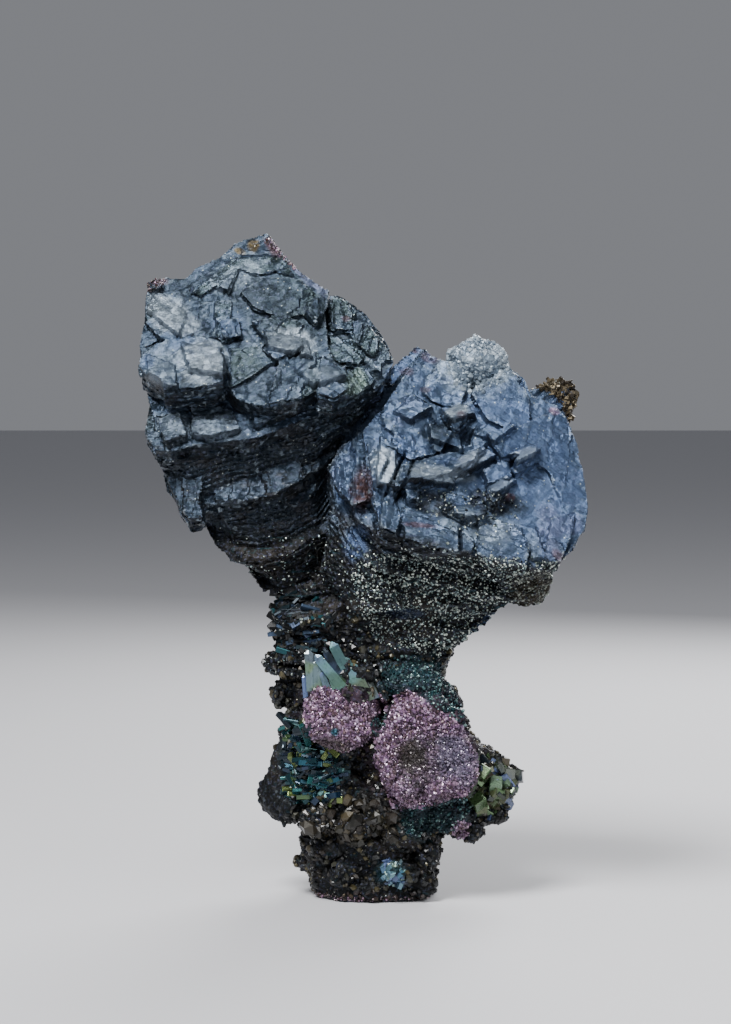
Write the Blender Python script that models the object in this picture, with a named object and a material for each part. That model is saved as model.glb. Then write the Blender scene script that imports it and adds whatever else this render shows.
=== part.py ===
"""A peacock ore specimen: two tabular crystals of tarnished copper sulphide on a knobbly stalk.

Two heads, each a stack of cleavage layers cut back step by step underneath, grew out of one stalk of
ore. The stalk carries two velvety druse domes, slender blades, a pointed wing on each side and a
small broken foot that it stands on. It all grew together, so it is one solid.

Lengths in the tables are millimetres. An outline is drawn as the specimen is seen from the front:
X to the right and Z up, from the middle of the foot. Y is depth, and the front is at -Y.
"""

import math
import random

import bmesh
import bpy
from mathutils import Matrix, Vector

MM = 0.001
SEED = 33

# The joined skin: edges shorter than this (in metres) are slivers, and this share of its triangles is kept
SLIVER = 0.000001
KEPT_SHARE = 0.69

# Each head's front cleavage face: a point on it and the way it looks
LEFT_FACE_POINT = (-13.0, -7.5, 56.0)
LEFT_FACE_NORMAL = (0.02, -0.85, 0.53)
RIGHT_FACE_POINT = (8.0, -8.5, 45.0)
RIGHT_FACE_NORMAL = (0.08, -0.90, 0.42)

# How the layers behind a face are stacked, and how deep the plates on it are rooted
LAYER_OVERLAP = 0.25
LAYER_JITTER = 0.30
LIP_THICKNESS = 1.2
LIP_DRAW_IN = (0.0, 0.01)
LAYER_DRAW_IN = (0.02, 0.08)
LAYER_CHIPPING = 0.06
LAYER_TAPER = 0.03
PLATE_ROOT = 2.2
PLATE_TAPER = 0.97

# The left head: its front face, from the apex round by the right
LEFT_FACE_OUTLINE = [
    (-11.2, 67.5), (-10.2, 66.2), (-9.3, 65.0), (-8.2, 63.8), (-6.6, 62.6), (-4.9, 61.6), (-5.4, 60.0),
    (-4.9, 56.0), (-3.6, 52.8), (-7.8, 51.0), (-11.6, 50.0), (-13.8, 50.8), (-15.1, 52.4), (-21.0, 51.7),
    (-23.2, 53.0), (-23.7, 56.1), (-23.3, 58.6), (-23.3, 61.4), (-22.8, 62.6), (-21.4, 63.0), (-19.4, 62.9),
    (-18.0, 64.1), (-16.2, 64.8), (-14.4, 66.4), (-12.6, 67.0),
]

# The right head's front face, from its top round by the right
RIGHT_FACE_OUTLINE = [
    (4.7, 55.6), (6.9, 54.4), (9.2, 51.6), (13.0, 54.0), (14.7, 52.8), (15.4, 51.1), (17.8, 50.1),
    (18.9, 48.6), (19.8, 46.1), (20.4, 42.6), (20.7, 40.1), (20.4, 38.1), (19.2, 36.4), (17.5, 34.3),
    (14.2, 33.8), (11.2, 34.6), (8.7, 35.8), (5.2, 36.4), (2.7, 37.3), (0.7, 37.8), (-0.8, 40.6),
    (-1.2, 43.6), (-1.6, 47.6), (0.7, 50.4), (2.7, 53.3),
]

# The layers behind each face: (depth, sixteen-point outline clockwise from the top), and their thicknesses
LEFT_LAYERS = [
    (2.8, [(-11.2, 66.2), (-8.0, 63.2), (-4.6, 61.4), (-1.6, 58.8), (0.2, 55.4), (-2.0, 51.4),
           (-5.0, 49.9), (-9.0, 48.6), (-12.4, 47.8), (-16.0, 47.2), (-20.0, 46.6), (-22.3, 47.4),
           (-23.2, 50.8), (-23.5, 56.0), (-22.6, 60.6), (-17.0, 63.6)]),
    (5.4, [(-11.4, 64.2), (-8.0, 62.0), (-4.2, 60.4), (-1.2, 57.8), (0.2, 54.2), (-2.2, 48.8),
           (-6.0, 46.6), (-9.6, 45.4), (-12.8, 44.8), (-16.0, 44.2), (-19.4, 43.0), (-21.9, 43.6),
           (-23.0, 48.2), (-23.0, 53.6), (-21.6, 58.2), (-16.8, 61.8)]),
    (8.6, [(-11.6, 61.4), (-7.8, 59.4), (-4.2, 57.8), (-1.2, 55.0), (-0.4, 50.4), (-2.6, 45.4),
           (-6.0, 42.6), (-9.4, 41.0), (-12.8, 40.2), (-16.0, 39.2), (-19.0, 37.9), (-20.6, 40.6),
           (-22.0, 45.6), (-22.0, 51.0), (-20.4, 55.6), (-16.2, 58.9)]),
    (12.4, [(-11.4, 57.8), (-7.4, 55.8), (-4.2, 53.4), (-1.6, 49.8), (-1.0, 45.0), (-2.4, 40.0),
            (-5.2, 36.4), (-8.4, 34.6), (-11.4, 33.4), (-13.9, 34.0), (-16.3, 36.0), (-18.4, 39.6),
            (-19.8, 44.0), (-19.8, 48.6), (-18.4, 53.0), (-15.2, 56.2)]),
    (16.0, [(-10.8, 53.8), (-7.2, 52.2), (-4.2, 49.6), (-2.0, 46.0), (-1.2, 41.0), (-2.2, 36.0),
            (-4.4, 32.2), (-7.2, 30.4), (-9.4, 30.0), (-11.3, 31.4), (-13.2, 33.4), (-15.4, 36.7),
            (-17.0, 41.0), (-17.0, 45.8), (-15.8, 50.0), (-13.6, 52.6)]),
    (20.0, [(-9.8, 48.8), (-7.0, 47.4), (-4.6, 45.0), (-3.0, 41.8), (-2.4, 37.6), (-3.0, 33.6),
            (-4.8, 30.4), (-6.8, 29.0), (-8.4, 29.2), (-9.8, 30.4), (-11.0, 32.2), (-12.6, 34.8),
            (-13.6, 38.4), (-13.6, 42.6), (-12.8, 46.0), (-11.6, 48.0)]),
]
LEFT_LAYER_THICKNESS = (1.9, 2.9, 0.8, 3.6, 0.7, 2.7, 1.1, 2.1, 1.2)

RIGHT_LAYERS = [
    (1.8, [(4.8, 55.8), (9.0, 52.8), (13.0, 53.2), (17.2, 50.0), (19.6, 45.8), (20.2, 40.5),
           (18.7, 36.6), (16.8, 33.6), (13.4, 33.4), (9.4, 34.4), (5.0, 35.4), (0.4, 36.4),
           (-2.4, 38.8), (-3.4, 43.6), (-2.4, 47.8), (1.2, 52.2)]),
    (5.5, [(4.3, 56.2), (8.2, 52.8), (12.4, 52.0), (16.2, 48.8), (19.0, 44.6), (19.4, 39.6),
           (17.7, 34.8), (15.6, 31.6), (13.2, 30.8), (9.4, 31.8), (5.0, 32.8), (0.0, 33.8),
           (-3.6, 36.6), (-5.9, 42.6), (-5.0, 47.6), (-0.4, 52.6)]),
    (9.0, [(2.4, 53.0), (7.6, 51.6), (11.6, 50.4), (15.0, 47.0), (17.4, 42.8), (18.0, 37.6),
           (15.6, 32.2), (13.2, 29.2), (10.8, 28.0), (7.6, 28.4), (4.0, 28.8), (0.0, 29.6),
           (-3.2, 33.6), (-4.8, 39.8), (-3.6, 45.6), (-0.4, 50.0)]),
    (13.0, [(1.6, 50.4), (6.4, 49.6), (10.2, 47.6), (13.0, 43.8), (14.4, 39.4), (13.2, 34.8),
            (10.6, 30.4), (8.4, 26.8), (7.2, 24.6), (5.0, 24.0), (2.4, 24.2), (-0.6, 25.0),
            (-3.4, 29.8), (-4.6, 36.4), (-3.6, 42.8), (-0.8, 47.4)]),
    (18.0, [(1.6, 46.0), (5.4, 45.6), (8.4, 43.6), (10.4, 40.2), (11.2, 36.4), (10.2, 32.4),
            (8.4, 28.6), (7.0, 25.6), (5.4, 23.6), (3.6, 23.4), (1.6, 23.6), (-0.8, 24.6),
            (-2.8, 28.6), (-3.6, 34.0), (-3.0, 39.4), (-0.8, 43.4)]),
]
RIGHT_LAYER_THICKNESS = (1.1, 0.7, 1.7, 0.6, 1.9, 0.7, 2.3, 0.8, 1.8, 0.9, 2.1, 1.6)

# Plates that stand proud of a head's face: (proud, lean to the right, lean upwards, outline)
LEFT_PLATES = [
    (0.9, -0.12, 0.22, [(-23.0, 61.6), (-22.0, 60.3), (-20.6, 59.2), (-19.0, 58.8), (-18.1, 57.5),
                        (-19.0, 57.0), (-21.5, 56.8), (-22.3, 57.6), (-23.1, 58.4)]),
    (1.4, -0.05, 0.10, [(-23.4, 56.1), (-21.8, 56.6), (-18.8, 56.8), (-17.3, 57.0), (-15.6, 56.1),
                        (-15.1, 55.4), (-15.1, 52.6), (-17.3, 52.1), (-21.0, 51.7), (-21.3, 52.6),
                        (-22.8, 53.3), (-23.5, 54.0)]),
    (1.0, 0.05, 0.16, [(-11.6, 56.0), (-10.6, 56.8), (-7.8, 57.3), (-7.5, 56.1), (-8.2, 55.4),
                       (-10.1, 54.7)]),
    (0.5, 0.00, -0.20, [(-11.1, 66.9), (-13.8, 65.4), (-14.6, 64.4), (-12.8, 63.1), (-10.3, 63.6),
                        (-7.8, 62.1), (-9.0, 64.1)]),
    (0.4, -0.20, 0.25, [(-19.3, 62.4), (-17.3, 63.8), (-14.3, 65.0), (-13.8, 64.4), (-15.0, 61.6),
                        (-16.3, 62.1), (-17.8, 61.1), (-18.8, 61.4)]),
    (0.8, 0.05, -0.05, [(-13.8, 61.6), (-11.6, 62.8), (-7.8, 62.6), (-6.0, 61.0), (-6.8, 59.4),
                        (-9.8, 58.8), (-12.3, 59.8)]),
    (1.1, 0.30, 0.05, [(-6.0, 61.1), (-5.0, 61.2), (-5.2, 60.0), (-6.0, 58.6), (-7.0, 59.6)]),
    (0.5, 0.02, 0.04, [(-14.6, 56.1), (-11.6, 56.0), (-10.3, 54.6), (-12.3, 53.1), (-14.6, 52.1)]),
    (0.8, 0.10, -0.06, [(-9.8, 54.4), (-7.8, 55.0), (-6.0, 55.6), (-5.6, 52.1), (-7.8, 50.8),
                        (-10.8, 50.4)]),
    (1.1, 0.08, 0.20, [(-5.6, 55.1), (-3.3, 54.1), (-2.6, 52.1), (-4.3, 51.1), (-5.8, 51.6)]),
    (1.0, 0.10, 0.06, [(-15.8, 58.8), (-13.8, 58.9), (-13.4, 57.2), (-15.4, 56.9)]),
    (0.3, -0.08, 0.00, [(-17.8, 60.6), (-14.6, 60.6), (-14.6, 56.6), (-17.3, 57.0), (-18.0, 58.1)]),
    (0.7, 0.16, -0.12, [(-12.6, 58.6), (-9.4, 59.0), (-7.4, 58.2), (-8.0, 57.0), (-11.0, 56.6)]),
]

# The left head's lower shoulder, then the plates on it and on the deeper layers, the long ledge first:
# (depth, lean to the right, lean upwards, proud, outline)
LEFT_SHOULDER_DEPTH = 1.3
LEFT_SHOULDER_THICKNESS = 5.0
LEFT_SHOULDER = [
    (-5.6, 61.2), (-4.2, 61.2), (-2.9, 60.5), (-1.2, 59.2), (0.0, 57.6), (1.0, 56.0), (1.5, 54.4),
    (0.4, 52.4), (-2.6, 50.8), (-5.0, 51.0), (-6.5, 55.0),
]
LEFT_SHOULDER_TAPER = 0.955
LEFT_STEP_PLATES = [
    (2.9, -0.04, 0.20, 0.0, [(-22.7, 50.6), (-19.5, 50.9), (-15.5, 51.2), (-12.0, 51.4), (-8.5, 51.8),
                             (-5.0, 52.2), (-2.6, 51.6), (-4.8, 49.8), (-7.2, 48.9), (-9.0, 48.3),
                             (-12.1, 47.2), (-15.0, 46.7), (-18.0, 46.4), (-20.4, 45.7), (-22.0, 45.9),
                             (-23.1, 47.6)]),
    (1.3, 0.16, 0.02, 0.6, [(-5.2, 60.8), (-3.7, 61.0), (-2.3, 59.6), (-2.8, 57.6), (-4.6, 57.8)]),
    (1.2, 0.22, -0.06, 0.6, [(-2.6, 58.7), (-0.9, 58.3), (0.5, 56.1), (-0.4, 55.0), (-2.2, 56.4)]),
    (1.4, 0.10, 0.12, 0.6, [(-4.8, 57.1), (-3.0, 56.6), (-1.4, 55.2), (-1.8, 54.2), (-4.6, 54.8)]),
    (1.1, 0.42, 0.26, 0.6, [(-3.5, 53.8), (-1.3, 54.1), (-0.4, 52.8), (-1.6, 51.6), (-2.8, 51.1)]),
    (2.7, 0.00, 0.30, 0.6, [(-18.6, 50.2), (-15.8, 50.4), (-14.3, 49.6), (-13.6, 48.1), (-16.3, 47.4),
                            (-18.3, 47.6)]),
    (2.4, -0.10, 0.26, 0.6, [(-22.0, 49.2), (-19.6, 49.6), (-18.8, 47.6), (-20.9, 46.8)]),
    (2.8, 0.06, 0.15, 0.6, [(-12.4, 50.2), (-9.2, 50.7), (-6.2, 51.2), (-6.0, 50.2), (-9.4, 49.2),
                            (-12.2, 48.4)]),
    (7.6, -0.10, 0.02, 0.6, [(-16.8, 45.4), (-12.6, 45.8), (-8.4, 46.2), (-7.4, 43.2), (-10.2, 41.6),
                             (-14.2, 40.8), (-17.2, 40.6)]),
    (6.6, -0.16, 0.00, 0.6, [(-20.9, 44.6), (-19.0, 45.2), (-17.4, 44.0), (-17.6, 41.0), (-17.3, 39.4),
                             (-18.7, 39.1), (-19.8, 40.6), (-20.8, 42.4)]),
    (9.4, 0.18, -0.10, 0.6, [(-10.6, 44.2), (-8.6, 44.9), (-6.4, 44.4), (-5.4, 42.6), (-6.4, 41.0),
                             (-8.2, 40.3), (-10.2, 40.9), (-11.0, 42.6)]),
]

# The plates on the right head's face, and two plates on the layer behind its left edge
RIGHT_PLATES = [
    (0.9, 0.06, 0.02, [(9.2, 51.4), (13.0, 53.9), (14.4, 52.9), (15.2, 50.8), (15.0, 48.6), (12.2, 47.8),
                       (10.8, 48.8)]),
    (0.6, 0.20, -0.04, [(10.6, 47.4), (14.2, 48.2), (17.8, 49.6), (18.8, 48.8), (19.8, 46.0), (20.6, 42.4),
                        (20.8, 40.1), (20.4, 37.8), (19.0, 37.1), (18.2, 40.1), (17.0, 43.6), (15.2, 45.1),
                        (12.2, 45.1)]),
    (0.4, -0.06, 0.04, [(4.7, 55.4), (6.9, 54.6), (8.8, 51.8), (8.0, 49.4), (5.4, 50.6), (3.4, 51.8),
                        (2.2, 52.8)]),
    (0.6, -0.10, -0.02, [(0.7, 50.4), (3.4, 51.4), (6.2, 49.8), (7.7, 48.1), (6.2, 45.6), (3.2, 44.8),
                         (0.7, 46.1), (0.0, 48.6)]),
    (1.5, -0.10, 0.40, [(6.0, 49.2), (8.2, 50.2), (8.8, 48.6), (7.6, 47.8)]),
    (1.0, -0.18, 0.16, [(-1.2, 46.6), (0.2, 45.6), (2.0, 43.8), (2.2, 42.4), (-0.6, 42.2), (-0.9, 44.6)]),
    (1.5, -0.04, 0.34, [(2.2, 44.4), (5.2, 45.2), (8.4, 46.2), (10.2, 46.4), (9.4, 44.6), (6.2, 43.4),
                        (3.7, 42.8), (2.0, 42.9)]),
    (1.7, -0.06, 0.36, [(13.2, 44.5), (15.0, 46.3), (15.6, 45.6), (15.3, 45.0), (13.6, 44.3)]),
    (1.6, 0.10, 0.30, [(10.4, 42.0), (12.2, 42.8), (13.0, 42.4), (12.2, 41.4), (11.2, 40.7)]),
    (0.9, -0.22, 0.02, [(-0.8, 42.4), (1.4, 41.6), (2.2, 39.6), (1.7, 37.8), (0.1, 38.4)]),
    (0.8, 0.04, 0.20, [(2.4, 40.4), (6.2, 38.6), (9.2, 37.4), (9.2, 36.3), (5.2, 36.5), (2.6, 37.5)]),
    (0.9, 0.05, 0.22, [(10.0, 39.1), (13.2, 38.6), (14.7, 36.6), (14.2, 34.3), (11.7, 34.8), (9.7, 36.1)]),
    (1.1, 0.12, 0.12, [(17.0, 39.1), (19.4, 39.8), (18.9, 37.6), (17.7, 35.2), (16.2, 35.2)]),
    (0.9, 0.00, 0.10, [(10.2, 43.9), (12.8, 44.8), (13.0, 43.2), (10.8, 42.6)]),
    (0.7, -0.05, 0.26, [(6.6, 41.6), (10.0, 41.2), (10.4, 39.8), (8.8, 39.0), (6.4, 39.8)]),
    (1.2, -0.10, 0.10, [(2.6, 42.4), (3.9, 42.2), (4.1, 40.9), (2.9, 40.9)]),
    (1.0, 0.10, -0.05, [(9.6, 48.2), (10.4, 47.9), (10.6, 45.6), (9.8, 45.0), (9.0, 46.2)]),
]
RIGHT_STEP_PLATES = [
    (1.2, -0.20, 0.0, 0.6, [(-1.3, 47.9), (-3.8, 46.1), (-5.0, 44.1), (-4.3, 42.1), (-2.6, 40.4),
                            (-1.2, 40.8), (-0.8, 43.0), (-0.9, 46.0)]),
    (2.0, -0.15, 0.12, 0.6, [(-3.5, 37.2), (-2.0, 38.3), (-1.0, 36.1), (-1.5, 34.5), (-2.8, 34.0)]),
]

# The stalk, from the foot up: (height, left, right, front, back)
STALK_RINGS = [
    (-1.0, -5.8, 5.2, -5.2, 5.6), (1.0, -6.4, 6.0, -5.8, 6.2), (3.0, -7.2, 6.2, -6.0, 6.8),
    (5.0, -7.5, 6.1, -5.8, 7.0), (6.6, -7.6, 6.6, -6.2, 6.8), (9.0, -8.6, 8.6, -6.6, 6.8),
    (12.0, -9.0, 9.6, -6.6, 6.6), (15.0, -9.4, 9.6, -6.2, 6.4), (18.0, -9.4, 8.6, -5.8, 6.4),
    (21.0, -9.8, 6.6, -5.4, 6.6), (24.0, -10.2, 7.2, -5.0, 7.2), (27.0, -10.4, 8.4, -5.0, 8.0),
    (30.0, -10.6, 8.8, -5.2, 8.6), (34.0, -11.4, 7.6, -4.6, 8.0), (38.0, -8.0, 4.0, -1.0, 6.0),
]
RING_POINTS = 17
RING_SPACING = 1.9
RING_SQUARENESS = 2.7
RING_JITTER = 0.55

# Bodies with corners, each the hull of its corner points (x, y, z)
HULLS = {
    "left_wing": [(-9.2, -2.4, 17.6), (-9.6, 2.0, 15.8), (-11.4, -1.8, 12.8), (-12.4, -1.2, 10.2),
                  (-12.3, 1.2, 9.6), (-11.9, -0.4, 8.5), (-9.6, -3.2, 7.4), (-8.4, 3.0, 7.2),
                  (-6.0, -5.4, 9.0), (-6.0, 4.0, 14.0), (-6.4, -5.6, 15.0), (-10.8, -3.6, 9.2)],
    "right_wing": [(7.8, -5.0, 16.6), (9.2, 0.0, 16.2), (10.4, -3.8, 15.6), (12.4, -2.8, 14.6),
                   (14.6, -1.8, 12.8), (14.3, -0.4, 12.2), (13.4, -3.6, 10.6), (12.9, -3.0, 7.8),
                   (10.4, -3.4, 7.3), (12.2, 1.6, 8.6), (8.0, 3.6, 8.0), (7.4, -5.2, 7.2),
                   (9.6, -5.6, 12.0)],
    "right_wing_tip": [(9.6, -4.6, 8.4), (11.0, -4.2, 7.6), (8.2, -4.4, 6.4), (7.4, -3.4, 6.2),
                       (8.6, -1.0, 7.0), (6.6, -5.0, 8.2), (9.8, -1.6, 9.0)],
    "foot_spur": [(-5.4, -4.0, 6.8), (-7.5, -2.0, 6.2), (-7.8, -1.2, 4.0), (-6.7, -2.6, 2.2),
                  (-5.0, 1.6, 3.0), (-5.2, 2.4, 6.2), (-4.0, -4.6, 3.0)],
    "copper_wing": [(15.2, -2.6, 51.4), (17.0, -1.6, 52.2), (18.6, -1.0, 52.9), (19.7, -0.6, 52.3),
                    (20.6, 0.2, 51.2), (19.9, 0.8, 50.0), (19.6, 0.6, 48.4), (18.4, -1.4, 47.6),
                    (15.6, 3.0, 48.0), (14.0, 1.8, 50.6), (16.6, -2.0, 48.4)],
    "low_right_lobe": [(11.6, -9.6, 33.2), (16.4, -9.4, 33.4), (17.4, -8.0, 33.0), (17.0, -6.6, 31.4),
                       (16.2, -7.2, 30.2), (14.4, -7.6, 29.9), (12.8, -7.8, 30.4), (12.0, -3.0, 33.6),
                       (17.0, -3.6, 35.0), (15.4, -9.0, 31.0)],
    "apex_back": [(-11.2, 0.2, 66.4), (-8.0, 1.2, 62.4), (-15.4, 0.6, 62.8), (-11.0, 4.2, 62.0),
                  (-6.0, 3.6, 58.0), (-17.0, 3.0, 58.0), (-12.0, 7.4, 56.0)],
    "neck_shelf": [(-10.4, -4.2, 30.0), (-9.6, -5.4, 27.6), (-6.0, -6.4, 28.4), (-3.0, -5.8, 30.6),
                   (-10.6, -1.0, 27.0), (-4.0, -4.0, 26.4), (-7.0, -3.0, 32.0)],
    "throat": [(-4.6, -6.6, 40.6), (-2.4, -8.0, 37.0), (-0.6, -8.4, 33.0), (-5.6, -6.4, 34.0),
               (-2.0, -6.6, 29.0), (2.6, -7.4, 30.0), (-4.0, 0.0, 42.0), (1.0, 0.0, 30.0),
               (-5.0, -2.0, 30.0)],
}

# Thin shelves on the left of the neck: (height at the left, height at the right, left, right, thickness)
NECK_SHELVES = [
    (31.2, 32.2, -9.6, -3.6, 1.2), (29.9, 30.5, -10.1, -3.0, 0.9), (28.6, 29.1, -10.3, -3.8, 1.1),
    (27.2, 27.6, -10.2, -4.4, 0.9), (26.0, 26.2, -10.0, -4.9, 0.8), (24.7, 24.7, -10.1, -5.6, 1.1),
    (23.2, 23.0, -10.4, -6.2, 0.9),
]
NECK_SHELF_FRONT = -6.0
NECK_SHELF_SIDE = -1.6
NECK_SHELF_BACK = 2.0
NECK_SHELF_SPOTS = (0.0, 0.2, 0.42, 0.61, 0.8, 1.0)
NECK_SHELF_SWEEP = 1.6
NECK_SHELF_RAGGEDNESS = 0.9

# Rounded knobs: (centre, radii, share of jitter)
KNOBS = [
    ((10.0, -2.6, 54.0), (3.2, 3.2, 2.8), 0.16),
    ((8.2, -3.0, 53.0), (1.9, 2.4, 1.9), 0.16),
    ((-22.3, -4.2, 62.0), (0.9, 1.0, 0.8), 0.12),
    ((-10.6, -1.4, 23.7), (1.1, 1.5, 1.2), 0.12),
    ((-9.9, -2.2, 20.6), (1.0, 1.4, 1.4), 0.12),
    ((9.4, -3.8, 7.0), (1.3, 1.4, 1.3), 0.14),
    ((-6.0, -6.0, 8.6), (1.9, 1.5, 1.5), 0.16),
    ((-2.4, -6.6, 8.2), (2.0, 1.5, 1.6), 0.16),
    ((2.4, -6.0, 6.6), (2.2, 1.3, 1.5), 0.14),
    ((7.2, -5.4, 9.0), (2.2, 1.6, 2.0), 0.12),
    ((3.4, -5.6, 22.2), (3.4, 1.9, 1.9), 0.10),
    ((6.2, -4.4, 20.4), (2.4, 1.8, 2.0), 0.10),
    ((2.0, -5.4, 3.2), (1.4, 1.2, 1.3), 0.14),
    ((-3.4, -5.4, 3.0), (1.5, 1.1, 1.3), 0.14),
    ((-0.4, -5.8, 5.6), (1.7, 1.2, 1.4), 0.16),
    ((-5.2, -5.0, 5.4), (1.6, 1.2, 1.4), 0.16),
    ((4.6, -5.0, 1.6), (1.4, 1.0, 1.3), 0.16),
    ((-1.0, -5.4, 1.2), (1.6, 0.9, 1.1), 0.16),
    ((4.9, -5.2, 5.0), (1.3, 1.0, 1.5), 0.16),
    ((0.2, -6.4, 9.6), (1.9, 1.2, 1.5), 0.16),
    ((-8.6, -4.2, 9.4), (1.7, 1.4, 1.4), 0.16),
    ((-1.6, -6.2, 23.2), (1.6, 1.2, 1.2), 0.16),
]

# The dark hollows between the druse domes, between the heads and under the right head: (centre, radii)
HOLLOWS = [
    ((-1.2, -8.4, 13.7), (1.9, 3.4, 2.1)),
    ((-4.9, -10.4, 39.6), (2.4, 4.6, 2.3)),
    ((-2.0, -7.6, 27.6), (2.2, 2.6, 1.7)),
]
HOLLOW_JITTER = 0.14

# The two druse domes and the lumps that they are made of: (centre, size), or (x, z, size) on the right face
LEFT_DRUSE = ((-3.7, -6.4, 19.0), (4.0, 2.5, 3.4))
LEFT_DRUSE_LUMPS = [
    ((-5.6, -7.6, 20.4), 1.7), ((-2.6, -8.0, 20.6), 1.8), ((-1.4, -7.6, 18.4), 1.6),
    ((-4.4, -8.2, 18.4), 2.0), ((-6.2, -7.2, 17.8), 1.5), ((-3.0, -7.8, 16.8), 1.5),
]
RIGHT_DRUSE_OUTLINE = [
    (2.2, 20.5), (4.0, 21.4), (6.2, 21.2), (8.4, 19.2), (9.7, 16.1), (10.0, 12.9), (7.7, 10.7), (4.4, 10.0),
    (2.7, 10.6), (1.0, 12.6), (-0.3, 14.6), (-0.4, 16.6), (0.8, 18.6),
]
RIGHT_DRUSE_POINT = (3.0, -8.6, 15.4)
RIGHT_DRUSE_NORMAL = (0.16, -0.98, 0.10)
RIGHT_DRUSE_THICKNESS = 4.4
RIGHT_DRUSE_LUMPS = [
    (2.4, 19.2, 1.8), (4.8, 19.6, 2.0), (7.0, 18.4, 1.9), (1.0, 16.6, 1.7), (3.2, 16.6, 1.5),
    (8.4, 15.8, 1.8), (6.0, 15.0, 1.6), (0.9, 14.0, 1.5), (3.0, 12.6, 1.8), (5.4, 12.0, 2.0),
    (8.0, 12.6, 2.0), (6.8, 17.0, 1.3),
]
RIGHT_DRUSE_LUMP_DEPTH = 0.55
DRUSE_LUMP_FLATNESS = 0.7
DRUSE_LUMP_JITTER = 0.12

# Slender blades above the left dome: (lower end, upper end, width, thickness)
BLADES = [
    ((-3.5, -7.4, 20.3), (-3.1, -7.0, 24.6), 1.2, 0.8),
    ((-0.6, -7.2, 21.0), (-3.4, -6.2, 25.4), 1.0, 0.8),
    ((0.9, -7.2, 20.6), (-1.7, -6.4, 25.6), 1.1, 0.9),
    ((1.9, -6.6, 21.6), (-0.4, -6.0, 25.2), 0.9, 0.8),
    ((-5.0, -6.4, 21.4), (-5.6, -5.6, 24.2), 0.8, 0.7),
    ((-8.0, -5.0, 25.6), (-3.6, -5.8, 26.0), 0.9, 0.9),
    ((-9.0, -4.4, 27.4), (-4.4, -5.6, 27.8), 0.9, 0.9),
]

BLADE_ENDS = (0.5, 0.36)

# Blocky crystals: (centre, size), how each is stretched along X, Y and Z, and how far it turns in radians
BLOCK_STRETCH = ((0.8, 1.35), (0.8, 1.1), (0.55, 0.9))
BLOCK_TURN = 0.5
BLOCK_CORNER = 0.42
BLOCKS = [
    ((-8.0, -5.2, 16.4), 1.7), ((-7.0, -5.8, 14.4), 1.8), ((-5.6, -6.2, 12.8), 1.7),
    ((-7.8, -5.0, 12.2), 1.5), ((-6.6, -5.9, 10.9), 1.4), ((-4.8, -6.4, 10.9), 1.3),
    ((-3.4, -6.3, 12.9), 1.3), ((-3.3, -6.4, 11.2), 1.2), ((10.2, -5.2, 12.8), 1.9),
    ((11.4, -4.5, 11.0), 1.7), ((12.6, -3.6, 11.6), 1.3), ((11.8, -3.8, 8.6), 1.8),
    ((10.2, -4.6, 9.6), 1.5), ((12.7, -3.0, 13.0), 1.1), ((1.7, -6.0, 3.4), 1.7),
    ((3.1, -5.9, 2.9), 1.3), ((-8.6, -4.6, 18.6), 1.4),
]

# Broken chips strewn over the stalk and over the backs of the heads
STALK_CHIPS = 40
STALK_CHIP_HEIGHTS = (0.6, 28.0)
STALK_CHIP_SIZE = (1.3, 2.3)
STALK_CHIP_STRETCH = ((0.8, 1.3), (0.6, 0.95))
STALK_CHIP_SUNK = 0.60
STALK_CHIP_JITTER = 0.18
BACK_CHIPS = 9
BACK_CHIP_SIZE = (2.2, 4.2)
BACK_CHIP_CORNERS = 11
BACK_CHIP_SHARE = (0.1, 0.62)
BACK_CHIP_SPREAD = (0.6, 1.1)
BACK_CHIP_REACH = 1.8
BACK_CHIP_FALL = 4.0


class Cleavage:
    """A flat crystal face through a point. Lengths are in millimetres."""

    def __init__(self, point, normal):
        self.point = Vector(point)
        self.normal = Vector(normal).normalized()
        up = Vector((0, 0, 1))
        self.up = (up - up.dot(self.normal) * self.normal).normalized()
        self.across = self.up.cross(self.normal)

    def spot(self, x, z, depth):
        """The point seen at (x, z) from the front, that many millimetres below the face."""
        beside = self.normal.x * (x - self.point.x) + self.normal.z * (z - self.point.z)
        return Vector((x, self.point.y - (depth + beside) / self.normal.y, z))

    def flat(self, x, z, depth):
        """That point in the face's own two directions."""
        away = self.spot(x, z, depth) - self.point
        return away.dot(self.across), away.dot(self.up)

    def matrix(self, depth):
        """Places a flat piece at that depth, its own Z pointing out of the face."""
        turn = Matrix((self.across, self.up, self.normal)).transposed().to_4x4()
        return Matrix.Translation(self.point - depth * self.normal) @ turn


def clear_scene():
    for old in list(bpy.data.objects):
        bpy.data.objects.remove(old, do_unlink=True)


def body_from(name, shape, group):
    """Makes a bmesh in millimetres an object in metres, in that collection."""
    shape.normal_update()
    bmesh.ops.recalc_face_normals(shape, faces=shape.faces)
    mesh = bpy.data.meshes.new(name)
    shape.to_mesh(mesh)
    shape.free()
    mesh.transform(Matrix.Scale(MM, 4))
    body = bpy.data.objects.new(name, mesh)
    group.objects.link(body)
    return body


def finished_mesh(body):
    """The mesh that a body's modifiers, or its curve, come to."""
    graph = bpy.context.evaluated_depsgraph_get()
    return bpy.data.meshes.new_from_object(body.evaluated_get(graph))


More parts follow.
